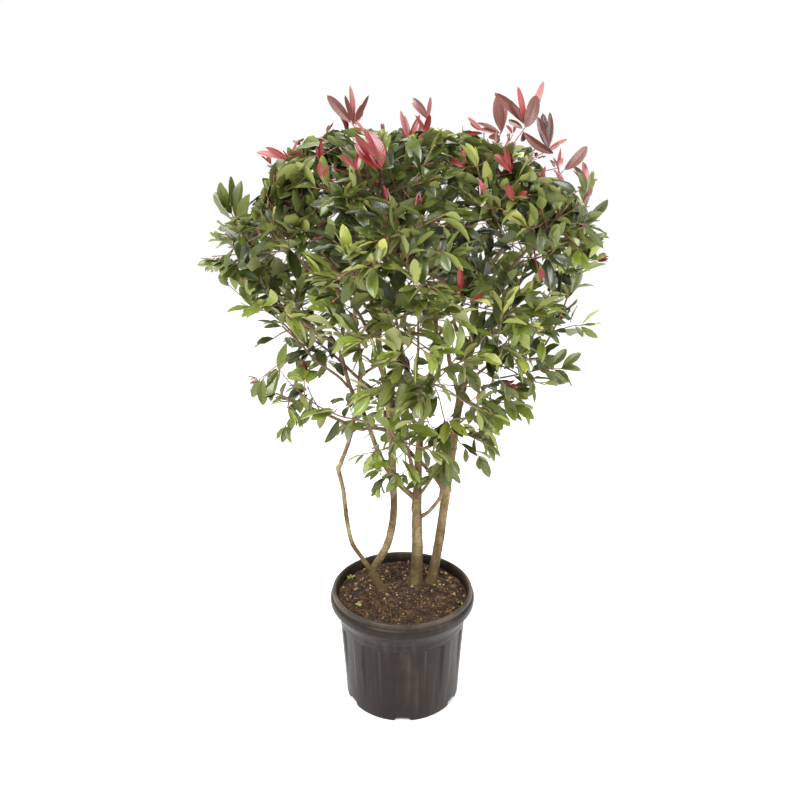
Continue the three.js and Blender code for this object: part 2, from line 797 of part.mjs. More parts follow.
// Side shoots leave the mass's stem at the spread angle, each a golden angle on from the last, and
// run to the edge of its space.
function sideShoots(plot, dice) {
  const { mass, masses } = plot;
  const axes = [];
  let bearing = dice.between(0, 2 * Math.PI);
  for (let i = 0; i < MASS.shoots; i += 1) {
    const start = mass.axis.getPoint(MASS.firstShoot + (MASS.shootStretch * (i + 0.5)) / MASS.shoots);
    const spread = radians(MASS.spread + dice.between(-MASS.spreadStray, MASS.spreadStray));
    const direction = mass.direction.clone().multiplyScalar(Math.cos(spread));
    direction.addScaledVector(sideways(mass.direction, bearing), Math.sin(spread));
    const room = roomAlong(start, direction, mass, masses, MASS.longestShoot + MASS.roomForLeaves);
    const length = Math.max(MASS.shortestShoot, room - MASS.roomForLeaves);
    const axis = new THREE.LineCurve3(start, along(start, direction, length));
    bearing += GOLDEN_ANGLE;
    if (twigFits(plot, axis, MASS.shootRadius)) {
      axes.push(axis);
    }
  }
  return axes;
}

// A long young shoot from the mass's stem to a point above the crown, with leaves round its tip.
function addYoungShoot(plot, shoot, dice) {
  const [tip] = vectors([shoot.tip]);
  const start = plot.mass.axis.getPoint(YOUNG.from);
  const rise = tip.clone().sub(start).normalize();
  const end = along(tip, rise, -LEAF.length * YOUNG.size * YOUNG.short);
  const axis = new THREE.LineCurve3(start, end);
  if (!twigFits(plot, axis, MASS.shootRadius)) {
    throw new Error(`${plot.mass.name} has no room for a young shoot to ${shoot.tip}`);
  }
  addTwig(plot, axis, MASS.shootRadius, MASS.shootTip);
  for (let i = 0; i < shoot.leaves; i += 1) {
    const root = axis.getPointAt(1 - (LEAF.tipInset + YOUNG.spacing * i) / axis.getLength());
    const bearing = dice.between(0, 1) + i * GOLDEN_ANGLE;
    addLeaf(plot, root, rise, bearing, radians(i === 0 ? YOUNG.first : YOUNG.angle), YOUNG.size);
  }
}

function massGeometry(mass, masses, limbs) {
  const dice = new Dice(SEED + SEED_STEP * (masses.indexOf(mass) + 1));
  const grown = { solids: [], twigs: [], taken: [] };
  const plot = { mass, masses, limbs, ...grown, lift: mass.tier.lift, isAboveCrown: false };
  const axes = [mass.axis, ...sideShoots(plot, dice)];
  addTwig(plot, mass.axis, MASS.stemRadius, MASS.stemTip);
  for (const axis of axes.slice(1)) {
    addTwig(plot, axis, MASS.shootRadius, MASS.shootTip);
  }
  const young = YOUNG_SHOOTS.filter((shoot) => insideCell(vectors([shoot.tip])[0], mass, masses, 0));
  const above = { ...plot, lift: YOUNG.lift, isAboveCrown: true };
  for (const shoot of young) {
    addYoungShoot(above, shoot, dice);
  }
  for (const axis of axes) {
    addLeaves(plot, axis, dice);
  }
  return toGeometry(wasm.Manifold.union(plot.solids));
}

// ---------- The whole plant ----------

const shrub = new THREE.Group();

function addPart(name, geometry, color, roughness) {
  const material = new THREE.MeshStandardMaterial({ color, roughness, metalness: 0 });
  const mesh = new THREE.Mesh(geometry, material);
  mesh.name = name;
  shrub.add(mesh);
}

const masses = makeMasses();
const stems = makeStems(masses);
const { boughs, limbs } = makeBoughs(masses, stems);

addPart("pot", potGeometry(), COLOURS.pot, 0.55);
addPart("soil", soilGeometry(), COLOURS.soil, 0.95);
for (const limb of [...stems, ...boughs]) {
  const plain = tube(limb.axis, limb.radiusAt, limb.sides, limb.steps, !limb.parent);
  const parent = stems.find((stem) => stem.name === limb.parent);
  addPart(limb.name, parent ? fitToParent(plain, parent) : plain, COLOURS.bark, 0.85);
}
for (const mass of masses) {
  addPart(`leaves_${mass.name}`, massGeometry(mass, masses, limbs), COLOURS.leaf, 0.5);
}

export default shrub;
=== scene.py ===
# A photinia shrub with red young shoots in its nursery pot: the looks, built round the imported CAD
# model. Plant and pot are worked out in millimetres, by the rule that the CAD solids grew by, and
# carried on to finer twigs and leaves of life size. A mesh is in metres, +Z up, front towards -Y.
import math

import bpy
import numpy as np
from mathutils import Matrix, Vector, kdtree, noise


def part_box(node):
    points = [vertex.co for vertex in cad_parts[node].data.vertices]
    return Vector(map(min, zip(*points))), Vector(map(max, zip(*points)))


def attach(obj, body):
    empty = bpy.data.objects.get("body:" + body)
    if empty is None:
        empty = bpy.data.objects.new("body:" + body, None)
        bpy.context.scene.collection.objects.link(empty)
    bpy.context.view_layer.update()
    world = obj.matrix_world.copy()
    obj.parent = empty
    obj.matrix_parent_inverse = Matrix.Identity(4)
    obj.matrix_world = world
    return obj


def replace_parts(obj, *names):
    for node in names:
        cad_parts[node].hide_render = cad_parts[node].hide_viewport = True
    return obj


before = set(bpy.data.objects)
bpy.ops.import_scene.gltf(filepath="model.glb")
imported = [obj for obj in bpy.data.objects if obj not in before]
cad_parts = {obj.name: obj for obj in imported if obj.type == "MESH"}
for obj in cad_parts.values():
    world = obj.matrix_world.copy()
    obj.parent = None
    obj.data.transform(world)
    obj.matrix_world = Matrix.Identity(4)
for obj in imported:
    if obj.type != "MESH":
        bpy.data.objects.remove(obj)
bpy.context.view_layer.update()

# ---------- Driving dimensions, as in the CAD source ----------

GAP = 0.3
SEED = 7
SEED_STEP = 7937
LOOKS_SEED = 12  # of the draws that only the scene has
GOLDEN_ANGLE = math.radians(137.5)
UP = np.array([0.0, 0.0, 1.0])
ACROSS = np.array([1.0, 0.0, 0.0])

POT = {
    "height": 368, "base": 180, "skirt": 182, "wall": 197, "mouth": 210, "inner_neck": 197,
    "inner_neck_height": 298, "thickness": 8, "floor": 5, "pad": 130, "foot": 167, "foot_height": 15,
    "flutes": 12, "flute_low": 36, "flute_high": 262, "flute_depth": 5,
    "notches": 6, "notch_width": 48, "notch_height": 12,
}
SOIL_TOP = 329

STEMS = {
    "stem_left": {
        "mass": "crest_3", "foot": 12.5, "tip": 4.5, "power": 0.7, "flare": 5, "lowest_fork": 860,
        "points": [[-64, 28, SOIL_TOP + GAP], [-92, 33, 396], [-68, 31, 452], [-44, 29, 506],
                   [-27, 25, 608], [-29, 18, 740], [-34, 10, 890], [-63, 10, 1114], [-95, 5, 1303]],
    },
    "stem_middle": {
        "mass": "top_1", "foot": 20.5, "tip": 4.5, "power": 1.7, "flare": 3, "lowest_fork": 640,
        "points": [[44, 73, SOIL_TOP + GAP], [48, 80, 440], [46, 75, 627], [50, 66, 780],
                   [62, 57, 940], [91, 48, 1100], [88, 40, 1260]],
    },
    "stem_right": {
        "mass": "crest_1", "foot": 15.5, "tip": 4.5, "power": 0.5, "flare": 4, "lowest_fork": 700,
        "points": [[93, 74, SOIL_TOP + GAP], [119, 84, 490], [148, 90, 740], [171, 98, 928],
                   [201, 100, 1103], [212, 100, 1227]],
    },
    "stem_far_left": {
        "mass": "crest_4", "foot": 7, "tip": 4, "power": 0.6, "flare": 2, "lowest_fork": 900,
        "points": [[-88, 33, 388], [-126, 22, 452], [-156, 8, 514], [-170, -2, 600], [-178, -10, 701],
                   [-190, -14, 768], [-183, -15, 790], [-148, -20, 897], [-119, -36, 1084],
                   [-127, -60, 1300]],
    },
}
STEM = {"flare_height": 22, "lead": 100}
FORKED_STEM = "stem_far_left"

# The crown's spread to the left and to the right at each height.
OUTLINE = np.array([
    [735, 70, 70], [810, 150, 280], [950, 330, 350], [1050, 430, 450], [1150, 400, 460],
    [1270, 490, 475], [1400, 560, 565], [1500, 500, 560], [1600, 430, 530], [1660, 375, 490],
    [1735, 300, 390],
], float)
CROWN_DEPTH = 0.86

HUB = (30, 20)
# name, height, count, bearing, step, share of the crown's radius, rise, slope, lift, hub
TIERS = [
    ("skirt", 885, 3, -90, 100, 0.55, 120, 0.3, -0.7, HUB),
    ("apron", 1010, 1, 205, 0, 0.75, 109, 0.3, -0.9, (-84, -26)),
    ("low", 1085, 4, -65, 72, 0.62, 200, 0.5, -0.4, HUB),
    ("mid", 1265, 5, -165, 72, 0.66, 300, 0.7, 0, HUB),
    ("heart", 1330, 1, 0, 0, 0, 400, 0.7, 0.2, HUB),
    ("upper", 1455, 6, -90, 60, 0.68, 400, 0.75, 0.2, HUB),
    ("crest", 1600, 5, 36, 72, 0.6, 500, 0.75, 0.4, HUB),
    ("top", 1620, 1, 0, 0, 0, 600, 0.75, 0.5, HUB),
]

SHOWN_BOUGHS = {
    "mid_1": (8.5, [[46, 75, 627], [-29, 58, 711], [-74, 50, 802], [-114, 32, 927],
                                   [-152, 8, 1020]]),
    "apron_1": (5.5, [[-34, 10, 885], [-90, -32, 908]]),
    "skirt_2": (6, [[48, 78, 560], [89, 40, 613], [118, 5, 700]]),
    "skirt_1": (6, [[46, 74, 650], [40, 30, 715]]),
    "heart_1": (7, [[174, 98, 955], [140, 58, 1075], [114, 20, 1160]]),
}

BOUGH = {
    "tip": 5, "slimmest": 5, "growth": 0.012, "stem_share": 0.62, "straight": 0.38, "lean": 1.1,
    "lead": 60, "at_stem": 3.5, "step": 0.03, "spacing": 0.045, "least_climb": 50, "clearance": 4,
    "samples": 31, "swings": [0, 40, -40, 80, -80, 120, -120, 170, -170],
}
MASS = {
    "below": 105, "above": 170, "least_above": 20, "margin": 0.6, "stem": 6, "stem_tip": 4,
    "shoot": 2.3, "longest": 210, "shortest": 55, "spread": 65, "spread_stray": 10, "shoots": 6,
    "leaf_room": 45, "first_shoot": 0.16, "shoot_stretch": 0.72, "clearance": 3,
}
STRAY = {"bearing": 7, "height": 20}

CAMERA = {"place": (-0.0075, -2.2, 1.71), "down": 18.3, "lens": 36 * 797 / 800}

# ---------- The finer growth that only the scene has ----------

ROUND = 6.28  # a full turn, to the draws that only the scene has
TWIG = {
    "first": 0.18,  # where a shoot's first twig leaves it
    "bare_end": 15,  # of the shoot
    "gaps": (0.8, 1.25),  # between two twigs, as shares of the tier's spacing
    "lengths": (0.6, 1.0),
    "longest": 128,
    "shortest": 35,
    "tries": (1, 0.75, 0.55),  # where there is no room, a shorter one is tried
    "spread": 52,
    "stray": 12,
    "bend": 0.22,  # how far a twig curves up and outwards, as a share of its length
    "up": 0.8,
    "out": 0.5,
    "inside": 12,  # how far it keeps inside the crown's outline
    "slack": 35,  # how far it may pass into a neighbouring mass's space
    "clearance": 9,
    "leaves_from": 0.22,
    "ring": 13,  # from ring to ring of its mesh
    "node": 0.12,  # how much thicker every second ring is
}
# The twigs' colours: in their dents and on their ridges.
TWIG_COLOURS = {
    "twig_old": ("5e4a34", "8c7454"), "twig_brown": ("6a4030", "8a5c44"),
    "twig_green": ("66603a", "8a7e50"), "twig_red": ("7c302c", "9c5048"),
}
OLD, BROWN, GREEN, RED = range(4)
# A twig is its radius at the foot and at the tip, its mesh's sides and its colour.
LEADER = {"twig": (4.9, 2.2, 8, OLD), "behind": 8, "sway": 0.02}
SHOOT = {"twig": (2.4, 1.5, 6, OLD), "sway": 0.035, "leaves_from": 0.62, "buds": (6, 9)}
THIN_TWIG = (1.6, 0.8, 5)  # brown or green
# A single shoot whose foot is thicker than bough_foot looks like a bough.
SINGLE = {"bough_foot": 4, "bough_taper": 0.6, "tip": 1.1, "sides": 7}
LEAF = {
    "length": 84,
    "slimness": 0.405,  # width as a share of the length
    "fullness": 0.68,  # the lower, the blunter its two ends
    "stalk": 11,
    "angle": 56,
    "stray": 14,
    "sizes": (0.58, 1.08),
    "gaps": (0.75, 1.3),  # between two leaves, as shares of the spacing
    "turn_stray": 0.3,
    "bare_end": 9,  # of the twig
    "own_tint": 0.65,  # the share that has the tint of its spray
    "clearance": 6,
    "turns": 6,  # ways that it is turned to find room
    "outwards": 0.25,  # how much its face turns away from the twig
}
ROSETTE = {"leaves": 4, "step": 2.5, "angles": (16, 50), "sizes": (0.5, 0.92), "lime": 0.05}
# How a leaf is bent and sized: the least and most of each, in the order of the draws.
LEAF_SHAPE = {
    "width": (0.86, 1.14), "fold": (0.1, 0.6), "droop": (0, 0.26), "arch": (0.05, 0.22), "wave": (0, 5),
    "phase": (0, ROUND), "twist": (-0.35, 0.35), "bow": (-0.12, 0.12), "stalk": (0.8, 1.3),
}
TUFT = {
    "leaves": (2, 5), "angles": (8, 32), "sizes": (0.25, 0.5),
    "tints": ["red", "crimson", "crimson", "bronze", "pink"],
    "facts": {"lift": 0.5, "slim": 0.8, "droop": (-0.05, 0.1)},
}
BUD = {
    "share": 0.6, "sizes": (5, 9), "sides": 5, "colours": ("8e3428", "b05a44"),
    "shares": np.array([0, 0.3, 0.65, 1.0]), "radii": np.array([0.14, 0.22, 0.18, 0.03]),
}
REACH = {"mass": 35, "plant": -6}  # how far leaves may pass the CAD's box of their mass and of the plant

# What the twigs and leaves of the masses are like: slack is how far a tip may pass the crown's
# outline and cell_slack a neighbour's space, light and sway turn a leaf's face, and young is the share
# of twigs with a tuft of young leaves.
MASS_FACTS = {
    "slack": 14, "cell_slack": 60, "light_up": 1.0, "light_out": 0.3, "sway": 0.9, "spacing": 18,
}
# Painted light and shade: the sunny tiers take mostly the darker tints and the shady ones the paler, so that
# the lower crown shows lighter, as the floor's bounce lights it.
SUNNY_FACTS = {
    "young": 0.14, "twig_spacing": 23,
    "sprays": ["deep", "deep", "deep", "deep", "mid", "mid", "mid", "olive", "olive", "fresh"],
}
SHADY_FACTS = {
    "young": 0.03, "twig_spacing": 42,
    "sprays": ["mid", "olive", "olive", "olive", "olive", "fresh", "fresh", "fresh", "fresh", "deep"],
}
SINGLE_FACTS = {
    "light_up": 0.6, "light_out": 0.5, "sway": 0.9, "out": np.array([0, -1, 0.3]), "young": 0.3,
    "droop": (0.05, 0.25),
}
NEXT_TINT = {"deep": "mid", "mid": "deep", "olive": "mid", "fresh": "olive", "lime": "fresh"}
SUNNY = ("heart", "upper", "crest", "top")
# How many of its twigs a tier keeps.
FULLNESS = {
    "skirt": 0.4, "apron": 0.12, "low": 0.5, "mid": 0.84, "heart": 1, "upper": 1, "crest": 1, "top": 1,
}
SLACK_STRAY = (-26, 16)  # of a twig's leaves, past the crown's outline
LIFT = 0.9  # of the leaves, as a share of their mass's
TREE_STEP = 7  # between the points that stand for a limb
PLACE = "place"  # where a point lies on its own leaf
VEINS = {"slope": 0.9, "spacing": 6.5}  # the side veins: how far they lean to the tip, and their gaps

# Where the front shows sky through the crown: across, up and the opening's radius, on the upright
# plane through the pot's middle.
SKY = np.array([
    (-260, 1010, 42), (-200, 1020, 35), (-165, 840, 34), (-210, 930, 26), (-400, 1580, 26),
    (-510, 1420, 32), (-475, 1300, 36), (-375, 1215, 32), (-350, 1150, 40), (50, 1140, 30),
    (122, 1108, 26), (170, 838, 34), (240, 825, 30), (-72, 860, 24), (548, 1345, 30),
    (-402, 1202, 36), (514, 1319, 34), (508, 1474, 18), (425, 1138, 24), (343, 940, 28),
    (-118, 822, 34), (8, 736, 20), (-412, 1630, 26),
], float)
# And how high the green leaves reach there: across and up.
GREEN_TOP = np.array([
    (-520, 1500), (-430, 1520), (-370, 1612), (-310, 1678), (-260, 1708), (-150, 1732), (110, 1735),
    (240, 1700), (330, 1690), (385, 1610), (470, 1575), (560, 1480),
], float)

# Young shoots: the fork that the leaves leave from, and each leaf's tip from there, to the right and
# up, its width and its tint.
YOUNG_SHOOTS = [
    ((-129, -60, 1740), [(-60, 65, 24, "bronze"), (5, 90, 16, "pink"), (35, 40, 18, "pink"),
                         (-10, 70, 13, "bronze"), (40, 70, 11, "bronze")]),
    ((-285, -100, 1649), [(-80, 40, 16, "pink"), (-50, 45, 13, "red"), (15, 60, 11, "red"),
                          (-5, 35, 10, "red")]),
    ((-184, -300, 1650), [(-10, 50, 13, "crimson"), (-22, 34, 10, "crimson")]),
    ((-183, -340, 1619), [(-10, 38, 12, "crimson"), (15, 28, 10, "crimson")]),
    ((-48, -350, 1641), [(-15, 90, 32, "crimson"), (-70, 45, 30, "crimson"), (-65, 65, 18, "crimson"),
                         (-35, 70, 11, "crimson")]),
    ((-102, -345, 1634), [(-35, 40, 13, "crimson"), (-5, 45, 16, "crimson")]),
    ((16, 20, 1698), [(-30, 70, 13, "pink"), (0, 65, 12, "pink"), (20, 70, 16, "red"),
                      (30, 20, 13, "red"), (-25, 30, 11, "crimson")]),
    ((65, -20, 1750), [(-40, 45, 13, "pink"), (-30, 60, 17, "bronze"), (0, 55, 13, "pink")]),
    ((218, 60, 1721), [(-45, 35, 11, "pink"), (-35, 25, 13, "red"), (-60, 0, 11, "crimson")]),
    ((139, -320, 1642), [(-30, 25, 15, "crimson"), (-10, 40, 14, "crimson")]),
    ((264, 60, 1721), [(-25, 90, 32, "bronze"), (-10, 80, 22, "bronze"), (-65, 35, 13, "bronze"),
                       (-55, 15, 17, "pink"), (-30, -20, 16, "bronze"), (20, 85, 15, "pink")]),
    ((314, -50, 1735), [(-70, 90, 23, "bronze"), (-35, 60, 18, "bronze"), (-25, 95, 17, "red"),
                        (45, 108, 18, "pink"), (35, 65, 33, "bronze"), (-40, 20, 15, "bronze"),
                        (-5, -40, 15, "bronze"), (62, -85, 22, "bronze")]),
    ((381, -20, 1676), [(-40, 80, 18, "bronze"), (-30, 90, 22, "purple"), (15, 90, 16, "bronze"),
                        (0, 75, 9, "pink"), (40, 35, 10, "pink"), (30, 20, 13, "pink")]),
    ((409, 0, 1630), [(5, 55, 15, "red"), (15, 25, 13, "pink"), (-20, 20, 13, "purple")]),
    ((425, 0, 1623), [(75, 50, 28, "bronze")]),
    ((489, 10, 1581), [(-20, 60, 17, "bronze"), (10, 65, 17, "pink"), (35, 20, 11, "bronze")]),
    ((243, -335, 1632), [(-35, 45, 16, "crimson"), (-20, 60, 13, "crimson"), (5, 45, 14, "crimson")]),
    ((254, -340, 1568), [(-25, 40, 17, "crimson"), (20, 30, 13, "crimson")]),
    ((188, -340, 1574), [(-20, 45, 10, "red"), (-10, 35, 8, "red")]),
    ((127, -430, 1372), [(0, 72, 15, "crimson"), (12, 38, 10, "crimson")]),
    ((319, -360, 1392), [(2, 30, 11, "crimson")]),
]
# Their leaves are folded, so width is against the one in the list.
YOUNG = {
    "fullness": 0.54, "width": 1.06, "start": 0.5, "sway": 0.03, "twig": (2.1, 1.2, 6, RED), "step": 3,
    "forwards": 0.3, "light_across": 0.6, "light_up": (-0.2, 0.5), "stalk_room": 4, "arch": 0.05, "stalk": 5,
    "shape": {
        "fold": (0.15, 0.6), "droop": (-0.1, 0.26), "wave": (0, 0.9), "phase": (0, ROUND),
        "twist": (-0.7, 0.7), "bow": (-0.24, 0.24),
    },
}
# More of them at the sides and the back: the fork, which of the shoots above it is like, and how far
# that one is turned about the upright.
TURNED_SHOOTS = [
    ((-60, 300, 1630), 0, 170), ((150, 330, 1670), 5, 200), ((320, 240, 1715), 3, 150),
    ((-220, 230, 1640), 6, 190), ((40, 180, 1690), 7, 140), ((-330, 120, 1600), 1, 100),
    ((450, 180, 1600), 13, 80), ((300, 380, 1560), 16, 160), ((-100, 400, 1580), 4, 180),
    ((60, -120, 1715), 5, 20), ((400, -150, 1600), 8, 30), ((-150, 120, 1715), 16, 60),
]
# Shoots that stand clear of the masses: points along the stem, its radius at the foot, the share of it
# that is bare, how far its leaves lean upwards, their size, the spacing between them and their tint.
# Painted light: the shoots low in the crown take the paler olive and fresh tints, as the floor's bounce
# lights the lower crown.
SINGLE_SHOOTS = [
    ([(-43, -20, 891), (-114, -100, 954), (-174, -110, 972), (-242, -120, 1011), (-306, -130, 1074),
      (-337, -130, 1119)], 3.4, 0.36, -1.5, 0.95, 38, "olive"),
    ([(405, 0, 1147), (430, -10, 1207), (456, -20, 1294), (487, -40, 1460), (485, -40, 1525),
      (481, -40, 1571)], 2.8, 0.1, 0.1, 0.95, 22, "olive"),
    ([(-360, 20, 1330), (-402, 10, 1410), (-440, 0, 1472), (-470, 0, 1528)],
     2.6, 0.66, 0.7, 1.15, 11, "olive"),
    ([(215, 90, 994), (141, 60, 1009), (80, 20, 1025), (53, 0, 1040)], 2.2, 0.6, -0.5, 0.8, 24, "fresh"),
    ([(-158, 2, 1021), (-184, -12, 1057), (-247, -35, 1113), (-283, -45, 1161), (-330, -60, 1215)],
     4.2, 0.5, 0, 1.0, 26, "olive"),
    ([(-35, 20, 713), (-49, -5, 751), (-64, -25, 779)], 1.8, 0.2, -0.8, 0.8, 16, "olive"),
    ([(-35, 20, 753), (-19, -20, 757)], 1.5, 0.3, -1.0, 0.7, 16, "fresh"),
    ([(51, 70, 715), (26, 20, 760), (19, -20, 834), (24, -60, 942), (34, -90, 1012)],
     2.6, 0.6, 0.1, 0.9, 22, "olive"),
    ([(26, 20, 760), (-2, -10, 756), (-13, -20, 757)], 1.6, 0.4, -0.4, 0.7, 16, "olive"),
    ([(22, -20, 828), (10, -50, 865), (-5, -70, 885)], 1.6, 0.3, 0.2, 0.8, 20, "fresh"),
    ([(194, 90, 872), (207, 60, 857), (224, 40, 852), (243, 20, 866)], 2.0, 0.3, -0.6, 0.9, 20, "olive"),
    ([(117, -80, 949), (113, -110, 924), (112, -125, 915)], 1.5, 0.2, -0.8, 0.8, 18, "olive"),
    ([(89, 60, 1108), (61, 20, 1139), (26, -20, 1172)], 3.0, 0.95, 0, 0.8, 30, "fresh"),
    ([(158, 0, 1676), (156, 0, 1735)], 1.3, 1.0, 0, 0.3, 30, "olive"),
    ([(-285, -50, 1160), (-313, -40, 1200), (-375, -20, 1252), (-404, -10, 1276), (-425, 0, 1312)],
     3.0, 0.35, 0.1, 0.95, 22, "olive"),
    ([(-214, -60, 1091), (-242, -60, 1085), (-261, -90, 1099)], 1.6, 0.2, -0.4, 0.9, 20, "fresh"),
    ([(-330, -60, 1120), (-370, -40, 1085), (-410, -20, 1050)], 1.6, 0.2, -1.0, 0.9, 26, "olive"),
    ([(286, 40, 1037), (341, 20, 1055), (409, 0, 1077), (452, -10, 1080)], 2.8, 0.2, 0, 1.0, 17, "olive"),
    ([(231, 60, 978), (289, 40, 963), (331, 20, 960)], 2.6, 0.1, -0.5, 1.0, 15, "fresh"),
    ([(240, 60, 1010), (275, 20, 1005), (320, 0, 1010)], 2.4, 0.1, -0.2, 1.0, 15, "olive"),
    ([(300, 60, 1060), (345, 30, 1090), (395, 10, 1110)], 2.4, 0.2, 0, 1.0, 17, "olive"),
    ([(430, 20, 1180), (480, 10, 1200), (505, 0, 1204)], 1.8, 0.3, 0.1, 0.9, 20, "fresh"),
    ([(115, 14, 668), (119, 18, 700), (123, 22, 738), (127, 20, 775), (131, 5, 805)],
     4.6, 0.62, -1.4, 1.0, 14, "olive"),
    ([(50, 76, 640), (62, 60, 665), (80, 45, 700), (92, 35, 728), (100, 20, 770)],
     5.4, 0.6, -0.9, 1.0, 16, "olive"),
    ([(-150, -50, 1160), (-132, -60, 1142), (-97, -60, 1114), (-85, -60, 1125)],
     1.6, 0.3, -0.2, 0.8, 20, "olive"),
    ([(30, -40, 1125), (6, -60, 1105), (-13, -60, 1096)], 1.4, 0.3, -0.6, 0.75, 18, "fresh"),
    ([(140, -50, 1220), (152, -60, 1180), (170, -60, 1130), (190, -60, 1090)],
     1.8, 0.3, -1.0, 0.85, 20, "olive"),
    ([(200, -50, 1100), (216, -60, 1088), (259, -60, 1070), (288, -60, 1050)],
     1.8, 0.3, -0.7, 0.85, 20, "olive"),
    ([(70, -50, 945), (78, -60, 925), (100, -60, 915)], 1.4, 0.2, -0.6, 0.75, 18, "fresh"),
    ([(160, 60, 850), (178, 60, 822), (205, 50, 810), (232, 40, 790)], 2.0, 0.25, -0.6, 0.85, 20, "olive"),
    ([(-50, 5, 745), (-62, 0, 728), (-70, 0, 712)], 1.3, 0.2, -0.9, 0.7, 16, "olive"),
    ([(-455, 0, 1420), (-480, 0, 1434), (-498, 0, 1442)], 1.3, 0.2, 0.2, 0.6, 16, "fresh"),
    ([(70, -160, 1470), (95, -190, 1520), (120, -210, 1570), (150, -220, 1610)],
     2.2, 0.25, 0.2, 1.0, 14, "mid"),
    ([(-330, 40, 1310), (-360, 20, 1350), (-395, 0, 1385), (-415, 0, 1415)], 2.0, 0.2, 0.1, 0.95, 14, "mid"),
    ([(-310, -60, 960), (-325, -60, 940), (-335, -60, 925)], 1.4, 0.2, -1.0, 0.8, 18, "olive"),
]

# ---------- Numbers, directions and curves ----------


class Dice:
    """The same row of draws as in the CAD source."""

    FACTOR, STEP, RANGE = 1664525, 1013904223, 2**32

    def __init__(self, seed):
        self.state = seed

    def between(self, low, high):
        self.state = (self.state * self.FACTOR + self.STEP) % self.RANGE
        return low + (high - low) * (self.state / self.RANGE)

    def about(self, amount):
        return self.between(-amount, amount)

    def chance(self):
        return self.between(0, 1)

    def bearing(self):
        return self.between(0, 2 * math.pi)

    def shape(self, limits):
        """A number for each name, between its two limits."""
        return {name: self.between(*pair) for name, pair in limits.items()}

    def pick(self, choices):
        return choices[min(int(self.between(0, len(choices))), len(choices) - 1)]


def vec(*numbers):
    return np.array(numbers, float)


def unit(vector):
    return vector / np.linalg.norm(vector, axis=-1, keepdims=True)


def turned(vector, axis, angle):
    c, s = math.cos(angle), math.sin(angle)
    return vector * c + np.cross(axis, vector) * s + axis * np.dot(axis, vector) * (1 - c)


def sideways(axis, angle):
    """A direction square to an axis, turned round it by an angle."""
    helper = UP if abs(axis[2]) < 0.9 else ACROSS
    return turned(unit(np.cross(axis, helper)), axis, angle)


class Curve:
    """A line that is read by the share of its length."""

    DIVISIONS = 200
    DELTA = 0.0001

    def __init__(self, at):
        self.at = at
        self.knots = np.linspace(0, 1, self.DIVISIONS + 1)
        steps = np.linalg.norm(np.diff(at(self.knots), axis=0), axis=1)
        self.lengths = np.concatenate([[0], np.cumsum(steps)])
        self.length = self.lengths[-1]

    def parameters(self, shares):
        return np.interp(np.atleast_1d(shares) * self.length, self.lengths, self.knots)

    def points(self, shares):
        return self.at(self.parameters(shares))

    def point(self, share):
        return self.points(share)[0]

    def ends(self):
        return self.at(np.array([0.0, 1.0]))

    def tangent(self, share):
        t = self.parameters(share)
        ahead = self.at(np.minimum(t + self.DELTA, 1))
        behind = self.at(np.maximum(t - self.DELTA, 0))
        return unit(ahead - behind)[0]


def straight(start, end):
    return Curve(lambda t: start + t[:, None] * (end - start))


def through(points):
    """A uniform Catmull-Rom curve through some points."""
    points = np.array(points, float)
    ends = [2 * points[0] - points[1], 2 * points[-1] - points[-2]]
    padded = np.vstack([ends[0], points, ends[1]])
    pieces = len(points) - 1

    def at(t):
        place = np.clip(t, 0, 1) * pieces
        piece = np.minimum(place.astype(int), pieces - 1)
        w = (place - piece)[:, None]
        p0, p1, p2, p3 = (padded[piece + k] for k in range(4))
        m1, m2 = (p2 - p0) / 2, (p3 - p1) / 2
        square = 3 * (p2 - p1) - 2 * m1 - m2
        return p1 + w * m1 + w**2 * square + w**3 * (2 * (p1 - p2) + m1 + m2)

    return Curve(at)


def bezier(a, b, c, d):
    def at(t):
        t = t[:, None]
        u = 1 - t
        return u**3 * a + 3 * u**2 * t * b + 3 * u * t**2 * c + t**3 * d

    return Curve(at)


# ---------- The crown's space ----------


def crown_radius(bearings, heights):
    left = np.interp(heights, OUTLINE[:, 0], OUTLINE[:, 1])
    right = np.interp(heights, OUTLINE[:, 0], OUTLINE[:, 2])
    depth = CROWN_DEPTH * (left + right) / 2
    side = np.where(np.cos(bearings) < 0, left, right)
    return 1 / np.hypot(np.cos(bearings) / side, np.sin(bearings) / depth)


def inside_crown(points, slack=0.0):
    x, y, z = points.T
    in_height = (z >= OUTLINE[0, 0] - slack) & (z <= OUTLINE[-1, 0] + slack)
    return in_height & (np.hypot(x, y) <= crown_radius(np.arctan2(y, x), z) + slack)


def inside_cell(points, mass, centres, margin):
    """Whether points are nearer to their mass's centre than to any other mass's."""
    between = np.delete(centres, mass.index, axis=0) - mass.centre
    distance = np.linalg.norm(between, axis=1)
    share = (points - mass.centre) @ (between / distance[:, None]).T
    return (share <= distance / 2 - margin).all(axis=1)


def room_along(start, direction, mass, centres, longest):
    step = 5
    reach = np.arange(step, longest + step, step)
    points = start + reach[:, None] * direction
    fits = inside_crown(points) & inside_cell(points, mass, centres, MASS["margin"])
    return step * (len(fits) if fits.all() else int(np.argmin(fits)))


# ---------- Stems, boughs and the masses' leaders ----------


class Limb:
    SAMPLES = 25

    def __init__(self, name, **facts):
        self.name, self.forks = name, []
        self.__dict__.update(facts)

    def follow(self, axis, radius_at):
        """The limb's line, and its radius at each share of it."""
        self.axis, self.radius_at = axis, radius_at
        shares = np.linspace(0, 1, self.SAMPLES)
        samples, radii = axis.points(shares), radius_at(shares)
        self.starts = samples[:-1]
        self.spans = np.diff(samples, axis=0)
        self.widths = np.maximum(radii[1:], radii[:-1])
        return self


